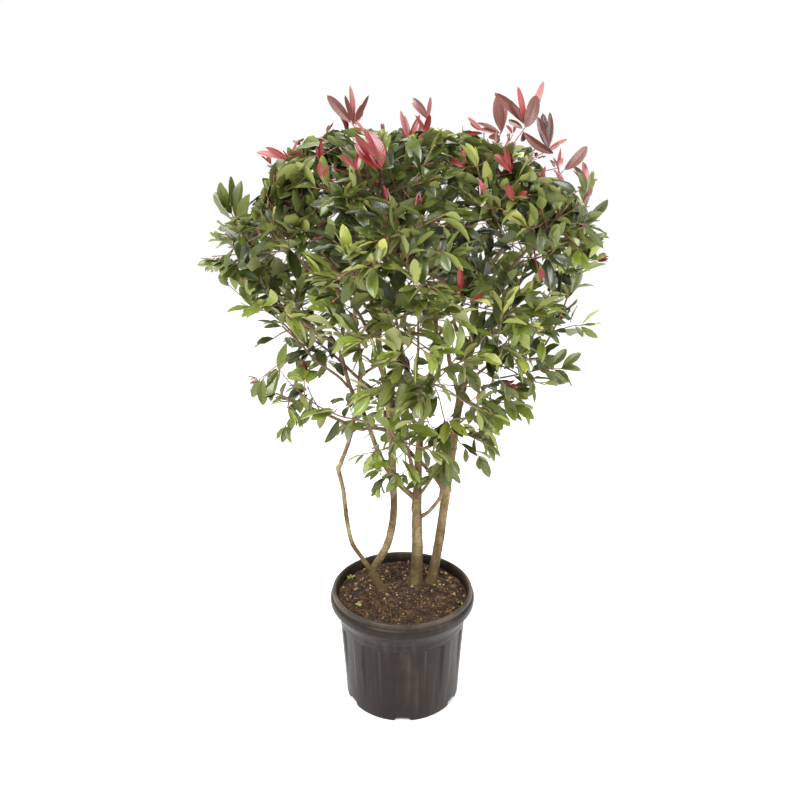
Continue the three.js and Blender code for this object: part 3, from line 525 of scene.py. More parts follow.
def clear_of(points, reach, limbs):
    """Whether a ball round each point stays clear of all limbs."""
    if not limbs:
        return np.ones(len(points), bool)
    starts = np.vstack([limb.starts for limb in limbs])
    spans = np.vstack([limb.spans for limb in limbs])
    widths = np.concatenate([limb.widths for limb in limbs])
    offsets = points[:, None] - starts
    shares = np.clip((offsets * spans).sum(2) / (spans**2).sum(1), 0, 1)
    distances = np.linalg.norm(offsets - shares[..., None] * spans, axis=2)
    return (distances >= reach + widths).all(axis=1)


def make_masses():
    dice = Dice(SEED)
    masses = []
    for name, height, count, bearing, step, share, rise, slope, lift, hub in TIERS:
        for i in range(count):
            angle = math.radians(bearing + (step * i + dice.about(STRAY["bearing"])))
            z = height + dice.about(STRAY["height"])
            reach = share * float(crown_radius(angle, z))
            centre = vec(reach * math.cos(angle), reach * math.sin(angle), z)
            direction = unit(centre - vec(*hub, z - rise))
            masses.append(Limb(
                f"{name}_{i + 1}", tier=name, slope=slope, lift=lift, index=len(masses), centre=centre,
                direction=direction, entry=centre - direction * MASS["below"],
            ))
    centres = np.array([mass.centre for mass in masses])
    for mass in masses:
        longest = MASS["above"] + MASS["leaf_room"]
        above = room_along(mass.centre, mass.direction, mass, centres, longest)
        end = mass.centre + mass.direction * max(MASS["least_above"], above - MASS["leaf_room"])
        axis = straight(mass.entry + mass.direction * GAP, end)
        mass.follow(axis, lambda share: MASS["stem"] + share * (MASS["stem_tip"] - MASS["stem"]))
    return masses, centres


def make_stems(masses):
    by_name = {mass.name: mass for mass in masses}
    stems = []
    for name, spec in STEMS.items():
        mass = by_name[spec["mass"]]
        axis = through([*spec["points"], mass.entry - mass.direction * STEM["lead"], mass.entry])

        def radius_at(share, spec=spec, length=axis.length):
            taper = spec["tip"] + (spec["foot"] - spec["tip"]) * (1 - share) ** spec["power"]
            return taper + spec["flare"] * np.exp(-share * length / STEM["flare_height"])

        stems.append(Limb(name, **spec).follow(axis, radius_at))
    return stems


def bough_axis(fork, stem_direction, mass, swing):
    span = mass.entry - fork
    level = unit(vec(span[0], span[1], 0))
    reach = BOUGH["straight"] * np.linalg.norm(span)
    leaving = unit(level + stem_direction * BOUGH["lean"])
    second = fork + leaving * reach + vec(-level[1], level[0], 0) * swing
    third = mass.entry - mass.direction * reach
    return bezier(fork, second, third, mass.entry)


def is_clear_way(axis, radius, stem, mass, limbs, masses):
    shares = np.linspace(0, 1, BOUGH["samples"])
    points = axis.points(shares)
    reach = radius + BOUGH["clearance"]
    past_fork = shares * axis.length > BOUGH["at_stem"] * stem.foot
    others = [limb for limb in limbs if limb.name != stem.name]
    leaders = [other for other in masses if other is not mass]
    return (
        clear_of(points[past_fork], reach, [stem]).all()
        and clear_of(points, reach, others).all()
        and clear_of(points, reach, leaders).all()
    )


def route_bough(mass, stems, limbs, masses):
    options = []
    for stem in stems:
        share = 0.0
        while share < 1:
            fork = stem.axis.point(share)
            outwards = math.hypot(mass.entry[0] - fork[0], mass.entry[1] - fork[1])
            climb = mass.entry[2] - fork[2]
            is_free = all(abs(other - share) > BOUGH["spacing"] for other in stem.forks)
            is_steep = climb > mass.slope * outwards and climb > BOUGH["least_climb"]
            if fork[2] > stem.lowest_fork and is_steep and is_free:
                options.append((math.hypot(outwards, climb), stem, share, fork))
            share += BOUGH["step"]
    options.sort(key=lambda option: option[0])
    for swing in BOUGH["swings"]:
        for length, stem, share, fork in options:
            thickest = BOUGH["stem_share"] * stem.radius_at(share)
            foot = min(thickest, BOUGH["slimmest"] + BOUGH["growth"] * length)
            axis = bough_axis(fork, stem.axis.tangent(share), mass, swing)
            if is_clear_way(axis, foot, stem, mass, limbs, masses):
                stem.forks.append(share)
                return axis, foot
    raise RuntimeError(f"no clear way to {mass.name}")


def make_boughs(masses, stems):
    boughs = []
    fed = [mass for mass in masses if mass.name not in [stem.mass for stem in stems]]
    for mass in sorted(fed, key=lambda mass: mass.name not in SHOWN_BOUGHS):
        if mass.name in SHOWN_BOUGHS:
            foot, points = SHOWN_BOUGHS[mass.name]
            axis = through([*points, mass.entry - mass.direction * BOUGH["lead"], mass.entry])
        else:
            axis, foot = route_bough(mass, stems, [*stems, *boughs], masses)

        def radius_at(share, foot=foot):
            return BOUGH["tip"] + (foot - BOUGH["tip"]) * (1 - share)

        boughs.append(Limb(f"bough_{mass.name}").follow(axis, radius_at))
    return boughs


# ---------- Meshes ----------


def add_object(name, data):
    made = bpy.data.objects.new(name, data)
    bpy.context.scene.collection.objects.link(made)
    return made


class Parts:
    """Points and faces that are joined into one piece."""

    def __init__(self):
        self.points, self.faces, self.slots, self.places = [], [], [], []
        self.total = 0

    def add(self, points, faces, slots):
        """Faces have rows of the same number of corners. Slots is one number or one a face."""
        self.points.append(points)
        self.total += len(points)
        self.more_faces(faces, slots)

    def more_faces(self, faces, slots):
        """Further faces on the points that were added last."""
        faces = np.asarray(faces) + self.total - len(self.points[-1])
        self.faces.append(faces)
        self.slots.append(np.broadcast_to(slots, len(faces)))

    def close_ends(self, rows, columns, slot):
        """A face at each end of the rows of points that were added last."""
        ring = np.arange(columns)
        self.more_faces([ring[::-1], (rows - 1) * columns + ring], slot)

    def piece(self, name, materials, slot, smooth=True):
        points = np.concatenate(self.points) / 1000
        corners = np.concatenate([faces.ravel() for faces in self.faces])
        sizes = np.concatenate([np.full(len(faces), faces.shape[1]) for faces in self.faces])
        mesh = bpy.data.meshes.new(name)
        mesh.vertices.add(len(points))
        mesh.vertices.foreach_set("co", points.astype(np.float32).ravel())
        mesh.loops.add(len(corners))
        mesh.loops.foreach_set("vertex_index", corners.astype(np.int32))
        mesh.polygons.add(len(sizes))
        starts = np.concatenate([[0], np.cumsum(sizes)[:-1]])
        mesh.polygons.foreach_set("loop_start", starts.astype(np.int32))
        for material in materials:
            mesh.materials.append(material)
        mesh.polygons.foreach_set("material_index", np.concatenate(self.slots).astype(np.int32))
        mesh.polygons.foreach_set("use_smooth", np.full(len(sizes), smooth))
        if self.places:
            place = mesh.attributes.new(PLACE, "FLOAT_VECTOR", "POINT")
            place.data.foreach_set("vector", np.concatenate(self.places).astype(np.float32).ravel())
        mesh.update(calc_edges=True)
        mesh.validate()
        made = add_object(name, mesh)
        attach(made, "root")
        return made


def strips(rows, columns, closed):
    """Quads between rows of points. In closed rows the last point meets the first."""
    across = np.arange(columns if closed else columns - 1)
    right = (across + 1) % columns
    start = np.arange(rows - 1)[:, None] * columns
    corners = [start + across, start + right, start + right + columns, start + across + columns]
    return np.stack(corners, axis=-1).reshape(-1, 4)


def carried_frames(points):
    """Two directions square to a line at each of its points, with no twist from one to the next."""
    tangents = unit(np.gradient(points, axis=0))
    side = sideways(tangents[0], 0)
    sides = []
    for tangent in tangents:
        side = unit(side - tangent * np.dot(side, tangent))
        sides.append(side)
    sides = np.array(sides)
    return sides, np.cross(tangents, sides)


def add_tube(parts, points, radii, sides, slot):
    """A round limb along a line of points. Radii has a value for each ring, or for each point."""
    normals, binormals = carried_frames(points)
    angles = np.linspace(0, 2 * math.pi, sides, endpoint=False)
    radii = np.broadcast_to(np.reshape(radii, (len(points), -1)), (len(points), sides))[..., None]
    ring = normals[:, None] * np.cos(angles)[:, None] + binormals[:, None] * np.sin(angles)[:, None]
    skin = points[:, None] + radii * ring
    parts.add(skin.reshape(-1, 3), strips(len(points), sides, True), slot)
    parts.close_ends(len(points), sides, slot)


# ---------- Materials ----------


def colour(code):
    """The linear colour of a hexadecimal sRGB one."""
    parts = [int(code[i : i + 2], 16) / 255 for i in (0, 2, 4)]
    return [c / 12.92 if c <= 0.04045 else ((c + 0.055) / 1.055) ** 2.4 for c in parts] + [1]


class Shader:
    """A material whose nodes are made by short calls."""

    def __init__(self, name, base="808080", **sockets):
        self.material = bpy.data.materials.new(name)
        self.material.use_nodes = True
        self.nodes = self.material.node_tree.nodes
        self.links = self.material.node_tree.links
        self.surface = self.nodes["Principled BSDF"]
        self.finish(base_color=colour(base), **sockets)

    def node(self, kind, inputs=None, **settings):
        made = self.nodes.new(f"ShaderNode{kind}")
        for name, value in settings.items():
            setattr(made, name, value)
        for name, value in (inputs or {}).items():
            self.feed(made.inputs[name], value)
        return made

    def feed(self, socket, value):
        if isinstance(value, bpy.types.NodeSocket):
            self.links.new(value, socket)
        else:
            socket.default_value = value

    def maths(self, operation, first, second=0.0):
        made = self.node("Math", operation=operation)
        self.feed(made.inputs[0], first)
        self.feed(made.inputs[1], second)
        return made.outputs[0]

    def weighed(self, *terms):
        """The sum of two values, each with its weight."""
        first, second = (self.maths("MULTIPLY", value, weight) for value, weight in terms)
        return self.maths("ADD", first, second)

    def where(self, stretch=None):
        place = self.node("TexCoord").outputs["Object"]
        return self.node("Mapping", {"Vector": place, "Scale": stretch}).outputs[0] if stretch else place

    def height(self):
        return self.node("SeparateXYZ", {"Vector": self.where()}).outputs["Z"]

    def noise(self, scale, detail=4.0, stretch=None, roughness=0.55):
        """Noise between 0 and 1. The scale is in features a metre."""
        facts = {"Vector": self.where(stretch), "Scale": scale, "Detail": detail, "Roughness": roughness}
        return self.node("TexNoise", facts).outputs["Fac"]

    def ramp(self, value, stops):
        made = self.node("ValToRGB", {"Fac": value})
        elements = made.color_ramp.elements
        while len(elements) < len(stops):
            elements.new(0.5)
        for element, (place, code) in zip(elements, stops):
            element.position = place
            element.color = colour(code)
        return made.outputs["Color"]

    def spread(self, value, low, high, to_low=0.0, to_high=1.0):
        facts = {"Value": value, "From Min": low, "From Max": high, "To Min": to_low, "To Max": to_high}
        return self.node("MapRange", facts).outputs["Result"]

    def mix(self, factor, first, second):
        made = self.node("Mix", data_type="RGBA")
        self.feed(made.inputs["Factor"], factor)
        for socket, value in (("A", first), ("B", second)):
            value = colour(value) if isinstance(value, str) else value
            self.feed([s for s in made.inputs if s.name == socket and s.type == "RGBA"][0], value)
        return [s for s in made.outputs if s.type == "RGBA"][0]

    def relief(self, height, distance, strength=1.0):
        facts = {"Height": height, "Distance": distance, "Strength": strength}
        return self.node("Bump", facts).outputs["Normal"]

    def finish(self, **sockets):
        for socket, value in sockets.items():
            label = socket.replace("_", " ").title().replace("Ior", "IOR")
            self.feed(self.surface.inputs[label], value)
        return self.material


def bark_material(name, light, dark, speck):
    """Young bark: marks round the limb, streaks along it, dark specks, and green near the ground."""
    s = Shader(name, specular_ior_level=0.3)
    blotches = s.noise(30, 5, stretch=(1, 1, 0.45))
    flecks = s.noise(110, 4, stretch=(1, 1, 1.5))
    fine = s.noise(300, 6, stretch=(1, 1, 0.6))
    rings = s.noise(38, 4, stretch=(0.5, 0.5, 5.5))
    tone = s.ramp(s.weighed((blotches, 0.7), (flecks, 0.3)), [(0.38, dark), (0.5, light), (0.64, speck)])
    marked = s.mix(s.spread(rings, 0.55, 0.7, 0, 0.55), tone, dark)
    warm = s.mix(s.spread(s.noise(9, 2), 0.48, 0.66, 0, 0.45), marked, "6a4832")
    patches = s.spread(s.noise(12, 3), 0.3, 0.6, 0.45, 0.9)
    near_soil = s.maths("MULTIPLY", s.spread(s.height(), 0.66, 0.38), patches)
    green = s.mix(near_soil, warm, "493c1f")
    dots = s.node("TexVoronoi", {"Vector": s.where((1, 1, 1.8)), "Scale": 120.0}).outputs["Distance"]
    dark_dots = s.spread(dots, 0.10, 0.26, 0.8, 0)
    crack = s.maths("SUBTRACT", s.maths("ADD", fine, rings), s.maths("MULTIPLY", dark_dots, 0.5))
    return s.finish(base_color=s.mix(dark_dots, green, "3a2c1a"), normal=s.relief(crack, 0.0016, 0.9),
                    roughness=s.spread(fine, 0.3, 0.7, 0.7, 0.9))


def twig_material(name, base, pale):
    s = Shader(name, roughness=0.55)
    grain = s.noise(220, 4)
    shown = s.ramp(grain, [(0.35, base), (0.7, pale)])
    return s.finish(base_color=shown, normal=s.relief(grain, 0.0004, 0.6))


def leaf_material(name, base, roughness, veins=0.5, coat=0.3):
    """A plain tint. The side veins and the leathery grain are relief, and the gloss is uneven."""
    s = Shader(name, base, coat_weight=coat, coat_roughness=0.22, specular_ior_level=0.4)
    place = s.node("Attribute", attribute_name=PLACE)
    parts = s.node("SeparateXYZ", {"Vector": place.outputs["Vector"]})
    lean = s.maths("MULTIPLY", s.maths("ABSOLUTE", parts.outputs["Y"]), VEINS["slope"])
    along = s.maths("SUBTRACT", parts.outputs["X"], lean)
    ribs = s.maths("ABSOLUTE", s.maths("SINE", s.maths("MULTIPLY", along, math.pi / VEINS["spacing"])))
    grain = s.noise(420, 3)
    rough = s.spread(grain, 0.3, 0.7, roughness - 0.07, roughness + 0.1)
    return s.finish(normal=s.relief(s.weighed((ribs, veins), (grain, 0.2)), 0.0006, 0.6), roughness=rough)


def pot_material():
    """Matt moulded plastic with dust that has run down it, scuffs, a painted highlight along the top of the
    rim and a fine grain.
    """
    s = Shader("moulded_plastic", specular_ior_level=0.2)
    grain = s.noise(900, 3)
    cloud = s.noise(7, 4)
    runs = s.noise(55, 4, stretch=(1, 1, 0.06))
    scratch = s.noise(9, 6, stretch=(3, 3, 60))
    dust = s.maths("MULTIPLY", s.spread(runs, 0.45, 0.75), s.spread(cloud, 0.4, 0.65))
    tone = s.ramp(cloud, [(0.3, "18110c"), (0.7, "201711")])
    dusty = s.mix(s.maths("MULTIPLY", dust, 0.2), tone, "6e655b")
    # Painted highlight: the top of the rim is mixed towards a pale grey-brown, where the lamps light it.
    at_rim = s.spread(s.height(), 0.345, 0.366)
    rim_painted_highlight = s.mix(s.maths("MULTIPLY", at_rim, s.spread(cloud, 0.35, 0.65, 0.05, 0.3)), dusty, "8a7c6c")
    scuffed = s.mix(s.spread(scratch, 0.66, 0.74, 0, 0.14), rim_painted_highlight, "7c746b")
    height = s.maths("ADD", grain, s.maths("MULTIPLY", scratch, 0.5))
    return s.finish(base_color=scuffed, normal=s.relief(height, 0.0005, 0.3),
                    roughness=s.spread(cloud, 0.3, 0.7, 0.36, 0.48))


def soil_material(name, dark, mid, pale):
    s = Shader(name, roughness=0.95)
    fine = s.noise(520, 7, roughness=0.7)
    both = s.weighed((fine, 0.6), (s.noise(40, 4), 0.4))
    shown = s.ramp(both, [(0.4, dark), (0.52, mid), (0.66, pale)])
    return s.finish(base_color=shown, normal=s.relief(fine, 0.002, 0.9))


# ---------- Pot ----------

ROUNDING = {"longest": 0.45, "points": 5}  # of a corner: its share of a side, and its points
POT_MESH = {"segments": 312, "wall_step": 7, "wall_start": 6, "fine_from": 14}
FLUTE = {
    "share": 0.31,  # half its width, as a share of the way to the next one
    "edge": (-0.030, 0.012),  # where its side begins and ends, in radians from its edge
    "arch": 7,  # how much lower its ledge is at the edge
    "ledge": 4,
    "rise": 190,  # the height in which it runs out below
}
NOTCH_EDGE = (-6, 3)  # where a notch's side begins and ends, from its edge
# The pot above its flutes, from the neck up the underside of the rim, over the bead and down inside:
# each corner's radius, height and rounding.
POT_RIM = [
    (198.5, 267, 2), (201, 284, 4), (206, 296, 4), (213, 306.5, 3), (215.5, 312.5, 2), (217, 316, 1),
    (221, 317.5, 2), (224.8, 323, 4), (226, 330, 4), (226, 341, 4), (224, 347.5, 2.5), (218.4, 351.5, 1.2),
    (220.2, 355.5, 2), (219.8, 362.5, 3), (216, 367.3, 2.5), (212, 368, 2), (208.8, 365.6, 2.5),
    (208, 357, 4),
]


def filleted(profile):
    """A profile of (radius, height, rounding) corners as a row of points."""
    corners = [np.array(corner[:2], float) for corner in profile]
    points = [corners[0]]
    for before, here, after, (*_, rounding) in zip(corners, corners[1:], corners[2:], profile[1:]):
        to_before, to_after = before - here, after - here
        longest = ROUNDING["longest"]
        cut = min(rounding, longest * np.linalg.norm(to_before), longest * np.linalg.norm(to_after))
        if cut == 0:
            points.append(here)
            continue
        start = here + unit(to_before) * cut
        end = here + unit(to_after) * cut
        for t in np.linspace(0, 1, ROUNDING["points"]):
            points.append((1 - t) ** 2 * start + 2 * t * (1 - t) * here + t**2 * end)
    points.append(corners[-1])
    return np.array(points)


def inner_radius(height):
    """Inside of the pot's wall: straight up behind the flutes, then flaring out to the mouth."""
    heights = [POT["foot_height"], POT["flute_high"], POT["inner_neck_height"], POT["height"]]
    behind_flutes = POT["wall"] - POT["flute_depth"] - POT["thickness"]
    radii = [POT["foot"] + 1, behind_flutes, POT["inner_neck"], POT["mouth"]]
    return float(np.interp(height, heights, radii))


def smooth_step(values, low, high):
    t = np.clip((values - low) / (high - low), 0, 1)
    return t * t * (3 - 2 * t)


def from_nearest(bearings, count):
    """How far each bearing is from the nearest of so many even ones."""
    pitch = 2 * math.pi / count
    return np.abs((bearings + pitch / 2) % pitch - pitch / 2)


def pot_profile():
    """The pot's section, from the middle of the underside round the wall to the middle of the floor."""
    foot_top = POT["foot_height"] + POT["floor"]
    low, high = POT["flute_low"], POT["flute_high"]
    fine_from = high - POT_MESH["fine_from"]
    coarse = range(low + POT_MESH["wall_start"], fine_from, POT_MESH["wall_step"])
    heights = [*coarse, *range(fine_from + 1, high + 1)]
    wall = [(POT["skirt"] + (POT["wall"] - POT["skirt"]) * (z - low) / (high - low), z, 0) for z in heights]
    return filleted([
        (0, 0, 0),
        (POT["pad"], 0, 2),
        (POT["pad"], POT["foot_height"], 2),
        (POT["foot"], POT["foot_height"], 3),
        (POT["foot"], 0, 1.5),
        (POT["base"], 0, 3),
        (POT["skirt"], low, 0),
        *wall,
        *POT_RIM,
        (POT["inner_neck"], POT["inner_neck_height"], 4),
        (inner_radius(high), high, 4),
        (inner_radius(foot_top), foot_top, 2),
        (0, foot_top, 0),
    ])


def flute_depths(profile, bearings, heights):
    """How deep the wall is pressed in: flat, under an arched ledge, and running out below."""
    from_middle = from_nearest(bearings, POT["flutes"])
    half = FLUTE["share"] * (2 * math.pi / POT["flutes"])
    across = 1 - smooth_step(from_middle, *(half + edge for edge in FLUTE["edge"]))
    ledge = POT["flute_high"] - FLUTE["arch"] * (from_middle / half) ** 2
    upright = smooth_step(heights, POT["flute_low"], POT["flute_low"] + FLUTE["rise"])
    under_ledge = 1 - smooth_step(heights, ledge - FLUTE["ledge"], ledge)
    is_outside = np.arange(len(profile)) < profile[:, 0].argmax()
    on_wall = is_outside[:, None] & (heights > POT["flute_low"])
    return on_wall * POT["flute_depth"] * across * upright * under_ledge


def notched(bearings, radii, heights):
    """The heights of the foot's ring, pushed up at the notches for drainage."""
    to_notch = from_nearest(bearings, POT["notches"]) * POT["base"]
    half = POT["notch_width"] / 2
    notch = POT["notch_height"] * (1 - smooth_step(to_notch, *(half + edge for edge in NOTCH_EDGE)))
    room = 2 * POT["foot_height"]
    in_ring = (radii > POT["foot"] - 4) & (heights < room)
    return np.where(in_ring, notch + heights * (room - notch) / room, heights)


def make_pot():
    segments = POT_MESH["segments"]
    profile = pot_profile()
    bearings = np.linspace(0, 2 * math.pi, segments, endpoint=False)
    radii, heights = (np.repeat(column[:, None], segments, axis=1) for column in profile.T)
    radii = radii - flute_depths(profile, bearings, heights)
    heights = notched(bearings, radii, heights)
    skin = np.stack([radii * np.sin(bearings), -radii * np.cos(bearings), heights], axis=-1)
    rows = skin[1:-1]
    parts = Parts()
    parts.add(rows.reshape(-1, 3), strips(len(rows), segments, True), 0)
    parts.close_ends(len(rows), segments, 0)
    pot = parts.piece("pot_shell", [pot_material()], "pot")
    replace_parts(pot, "pot")


# ---------- Soil ----------

SOIL = {
    "rise": 5, "rings": 76, "spokes": 252, "gap": 0.5, "skirt": 40, "narrowing": 0.995, "tilt": 0.012,
}
# The loose top's unevenness: each wave's height, width and seed, and the same for its grain.
SWELLS = [(3.5, 70, 0), (2.2, 22, 4), (1.3, 8, 9)]
GRAIN = [(0.9, 3.2, 2), (0.6, 1.6, 5)]
MOUNDS = {"height": 4, "spread": 1800, "places": ((-62, 33), (70, 76))}
# Where the compost is finer: its middle, radius and largest crumb. From the first crumb strewn there
# on, the crumbs all over the pot have these darker tints.
FINE_SOIL = {"place": (34, -70), "radius": 100, "largest": 2.2, "tints": [0, 0, 0, 1]}
# What lies on it: count, smallest, largest, flatness and the tints, which are places in LITTER_TINTS.
LITTER = [
    (4600, 1.0, 4.2, 0.7, [0, 0, 1, 1, 1, 2]),  # crumbs
    (60, 3.0, 9.0, 0.25, [2, 4, 4]),  # chips of bark
    (240, 1.5, 6.0, 0.5, [3, 3, 2]),
    (190, 0.9, 3.6, 0.6, [5, 5, 6]),  # pale flecks
]
LITTER_TINTS = {
    "crumb_dark": ("140b05", "2a1b0e", "49331d"),
    "crumb_brown": ("2c1c0d", "503519", "7a5630"),
    "crumb_orange": ("4a2e16", "744a26", "9a6c40"),
    "crumb_tan": ("665232", "8f784c", "b29a6a"),
    "chip_red": ("543626", "7a543a", "987254"),
    "fleck_pale": ("a0926c", "c0b48e", "d8cca8"),
    "fleck_yellow": ("7c7838", "a19a4e", "bab56c"),
}
LUMP = {"corners": (0.55, 1.15), "widths": (0.5, 0.95)}  # in shares of its size
LUMP_FACES = [(3, 2, 1, 0), (4, 5, 6, 7), (0, 1, 5, 4), (1, 2, 6, 5), (2, 3, 7, 6), (3, 0, 4, 7)]
# How the lumps lie: their gap to the wall, to a stem in its radii, their tilt and how far they stand up.
LYING = {"from_wall": 8, "from_stem": 1.3, "tilt": 0.35, "raised": 0.35}


def lumpy(x, y, waves):
    return sum(height * noise.noise(Vector((x / width, y / width, seed))) for height, width, seed in waves)


def soil_height(x, y):
    """The loose top stands a little above the CAD's soil: swells, clods, a low mound round the stems."""
    mound = sum(
        MOUNDS["height"] * math.exp(-((x - mx) ** 2 + (y - my) ** 2) / MOUNDS["spread"])
        for mx, my in MOUNDS["places"]
    )
    return SOIL_TOP + SOIL["rise"] + SOIL["tilt"] * y + lumpy(x, y, SWELLS) + mound


def make_soil():
    rings, spokes = SOIL["rings"], SOIL["spokes"]
    edge = inner_radius(SOIL_TOP + SOIL["rise"]) - SOIL["gap"]
    points = []
    for ring in range(1, rings + 1):
        radius = edge * ring / rings
        for bearing in np.linspace(0, 2 * math.pi, spokes, endpoint=False):
            x, y = radius * math.cos(bearing), radius * math.sin(bearing)
            points.append((x, y, soil_height(x, y) + lumpy(x, y, GRAIN)))
    narrowing, low = SOIL["narrowing"], SOIL_TOP - SOIL["skirt"]
    skirt = [(x * narrowing, y * narrowing, low) for x, y, _ in points[-spokes:]]
    parts = Parts()
    parts.add(np.array(points + skirt), strips(rings + 1, spokes, True), 0)
    parts.close_ends(rings + 1, spokes, 0)
    bed = parts.piece("soil_bed", [soil_material("compost", "120a04", "3a2412", "8a643a")], "soil")
    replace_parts(bed, "soil")


def lump(rng, size, flatness):
    """A crumb: a box whose eight corners are pulled about at random."""
    corners = np.array([(x, y, z) for z in (-1, 1) for x, y in ((-1, -1), (1, -1), (1, 1), (-1, 1))], float)
    corners *= rng.uniform(*LUMP["corners"], (8, 1))
    return corners * np.array([size, size * rng.uniform(*LUMP["widths"]), size * flatness])


def scatter(parts, rng, count, low, high, flatness, tints, feet):
    """Lumps strewn over the soil, half sunk in it, clear of the stems' feet."""
    edge = inner_radius(SOIL_TOP) - LYING["from_wall"]
    fine_x, fine_y = FINE_SOIL["place"]
    for _ in range(count):
        radius = edge * math.sqrt(rng.uniform(0.0, 1.0))
        bearing = rng.uniform(0, 2 * math.pi)
        x, y = radius * math.cos(bearing), radius * math.sin(bearing)
        size = low * (high / low) ** (rng.uniform() ** 2)
        if math.hypot(x - fine_x, y - fine_y) < FINE_SOIL["radius"]:
            size = min(size, FINE_SOIL["largest"])
            tints = FINE_SOIL["tints"] if 0 in tints else tints  # also for the crumbs that follow
        if any(math.hypot(x - sx, y - sy) < foot + size for sx, sy, foot in feet):
            continue
        spin = rng.uniform(0, 2 * math.pi)
        tilt = rng.normal(0, LYING["tilt"], 2)
        corners = lump(rng, size, flatness)
        c, s = math.cos(spin), math.sin(spin)
        corners = corners @ np.array([[c, s, 0], [-s, c, 0], [0, 0, 1]])
        corners[:, 2] += corners[:, 0] * tilt[0] + corners[:, 1] * tilt[1]
        corners += (x, y, soil_height(x, y) + LYING["raised"] * size * flatness)
        parts.add(corners, LUMP_FACES, int(rng.choice(tints)))


def make_litter(stems):
    rng = np.random.default_rng(SEED)
    rooted = [stem for stem in stems if stem.name != FORKED_STEM]
    feet = [(*stem.axis.point(0)[:2], LYING["from_stem"] * stem.foot) for stem in rooted]
    parts = Parts()
    for kind in LITTER:
        scatter(parts, rng, *kind, feet)
    materials = [soil_material(name, *tones) for name, tones in LITTER_TINTS.items()]
    parts.piece("soil_litter", materials, "soil", smooth=False)


# What grows and lies on the soil: a seedling's leaves and some fallen ones. Each has its root from
# above, its bearing, length and tint.
SEEDLING = (-168, 84)
SOIL_LEAVES = [
    (*SEEDLING, 20, 15, "fresh"), (*SEEDLING, 95, 16, "mid"), (*SEEDLING, 170, 14, "fresh"),
    (*SEEDLING, 235, 16, "fresh"), (*SEEDLING, 310, 15, "mid"), (-148, -52, -20, 24, "lime"),
    (38, 44, 150, 12, "lime"), (96, 50, 10, 13, "lime"), (92, -70, 60, 10, "lime"),
    (-26, 30, 80, 12, "lime"),
]
SOIL_LEAF_SHAPE = {
    "fold": 0.25, "droop": 0.15, "arch": 0.05, "wave": 0.5, "twist": 0.2, "bow": 0, "stalk": 1,
}


def make_soil_leaves(looks):
    foliage = Foliage()
    for x, y, bearing, length, tint in SOIL_LEAVES:
        angle = math.radians(bearing)
        rise, height = (0.35, 9) if (x, y) == SEEDLING else (0.05, 2.5)
        direction = unit(vec(math.cos(angle), math.sin(angle), rise))
        face = unit(UP - direction * direction[2])
        root = vec(x, y, soil_height(x, y) + height)
        foliage.add(root=root, twig=direction, direction=direction, face=face, length=length, tint=tint,
                    width=0.5 * length, phase=bearing, **SOIL_LEAF_SHAPE)
    foliage.piece("soil_leaves", looks)


# ---------- Bark ----------

BARK = {
    "depth": 0.075,  # of the relief, as a share of the radius
    "waves": [(1.2, 2.6, 34), (0.7, 6, 11)],  # weight, how many round the limb and how long along it
    "below": 14,  # how far a stem goes on into the soil
    "foot": 1.15,  # how much thicker it is down there
}
# The skin's mesh, and the small swellings strewn along it where leaves once stood: the first one's
# place, the gaps between them, the bare end, and their heights, in shares of the radius or in mm.
STEM_BARK = {
    "sides": 26, "ring": 4.2, "first": (50, 90), "gaps": (35, 85), "bare_end": 60,
    "heights": (0.10, 0.24), "in_radii": True, "widths": (5, 9),
}
BOUGH_BARK = {
    "sides": 14, "ring": 6.0, "first": (30, 60), "gaps": (30, 60), "bare_end": 20,
    "heights": (0.5, 1.3), "in_radii": False, "widths": (4, 7),
}
FORK_KNOT = {"out": 8, "height": 0.22, "width": 11}  # the swelling where a limb forks off
COLLAR = {"height": 0.45, "length": 16}  # how much thicker a bough is at its foot
# Swellings that show: where, which way, how high and how wide.
KNOTS = {
    "stem_far_left": [((-190, -14, 774), (-1, -0.3, 0.3), 3.2, 7), ((-181, -14, 792), (1, -0.2, 0), 1.2, 6)],
    "stem_middle": [((47, 78, 372), (-0.6, -0.8, 0), 5.5, 12), ((49, 76, 600), (-0.9, -0.3, 0), 4, 12)],
    "stem_right": [((100, 78, 366), (0.6, -0.8, 0), 3.2, 10)],
}


def bark_relief(angle, along, offset):
    """How far the bark stands out at an angle round the limb and a length along it."""
    c, s = math.cos(angle), math.sin(angle)
    return BARK["depth"] * sum(
        weight * noise.noise(Vector((count * c, count * s, along / length + offset)))
        for weight, count, length in BARK["waves"]
    )


def make_bark(limb, radius_at, knots, kind, below=0.0):
    """A limb's skin: its true taper with ridges and a swelling at each knot."""
    shares = np.linspace(0, 1, int(limb.axis.length / kind["ring"]) + 1)
    points = limb.axis.points(shares)
    radii = radius_at(shares)
    along = shares * limb.axis.length
    if below:
        points = np.vstack([points[0] - limb.axis.tangent(0) * below, points])
        radii = np.concatenate([radii[:1] * BARK["foot"], radii])
        along = np.concatenate([[-below], along])
    angles = np.linspace(0, 2 * math.pi, kind["sides"], endpoint=False)
    normals, binormals = carried_frames(points)
    offset = sum(ord(letter) for letter in limb.name) % 97
    skin = np.array([[1 + bark_relief(angle, a, offset) for angle in angles] for a in along])
    skin *= radii[:, None]
    for place, direction, height, width in knots:
        nearest = int(np.argmin(np.linalg.norm(points - place, axis=1)))
        towards = math.atan2(np.dot(direction, binormals[nearest]), np.dot(direction, normals[nearest]))
        turn = (angles - towards + math.pi) % (2 * math.pi) - math.pi
        spread = width / max(radii[nearest], 1)
        lengthwise = np.exp(-(((along - along[nearest]) / width) ** 2))[:, None]
        skin += height * (lengthwise * np.exp(-((turn / spread) ** 2)))
    parts = Parts()
    add_tube(parts, points, skin, kind["sides"], 0)
    return parts


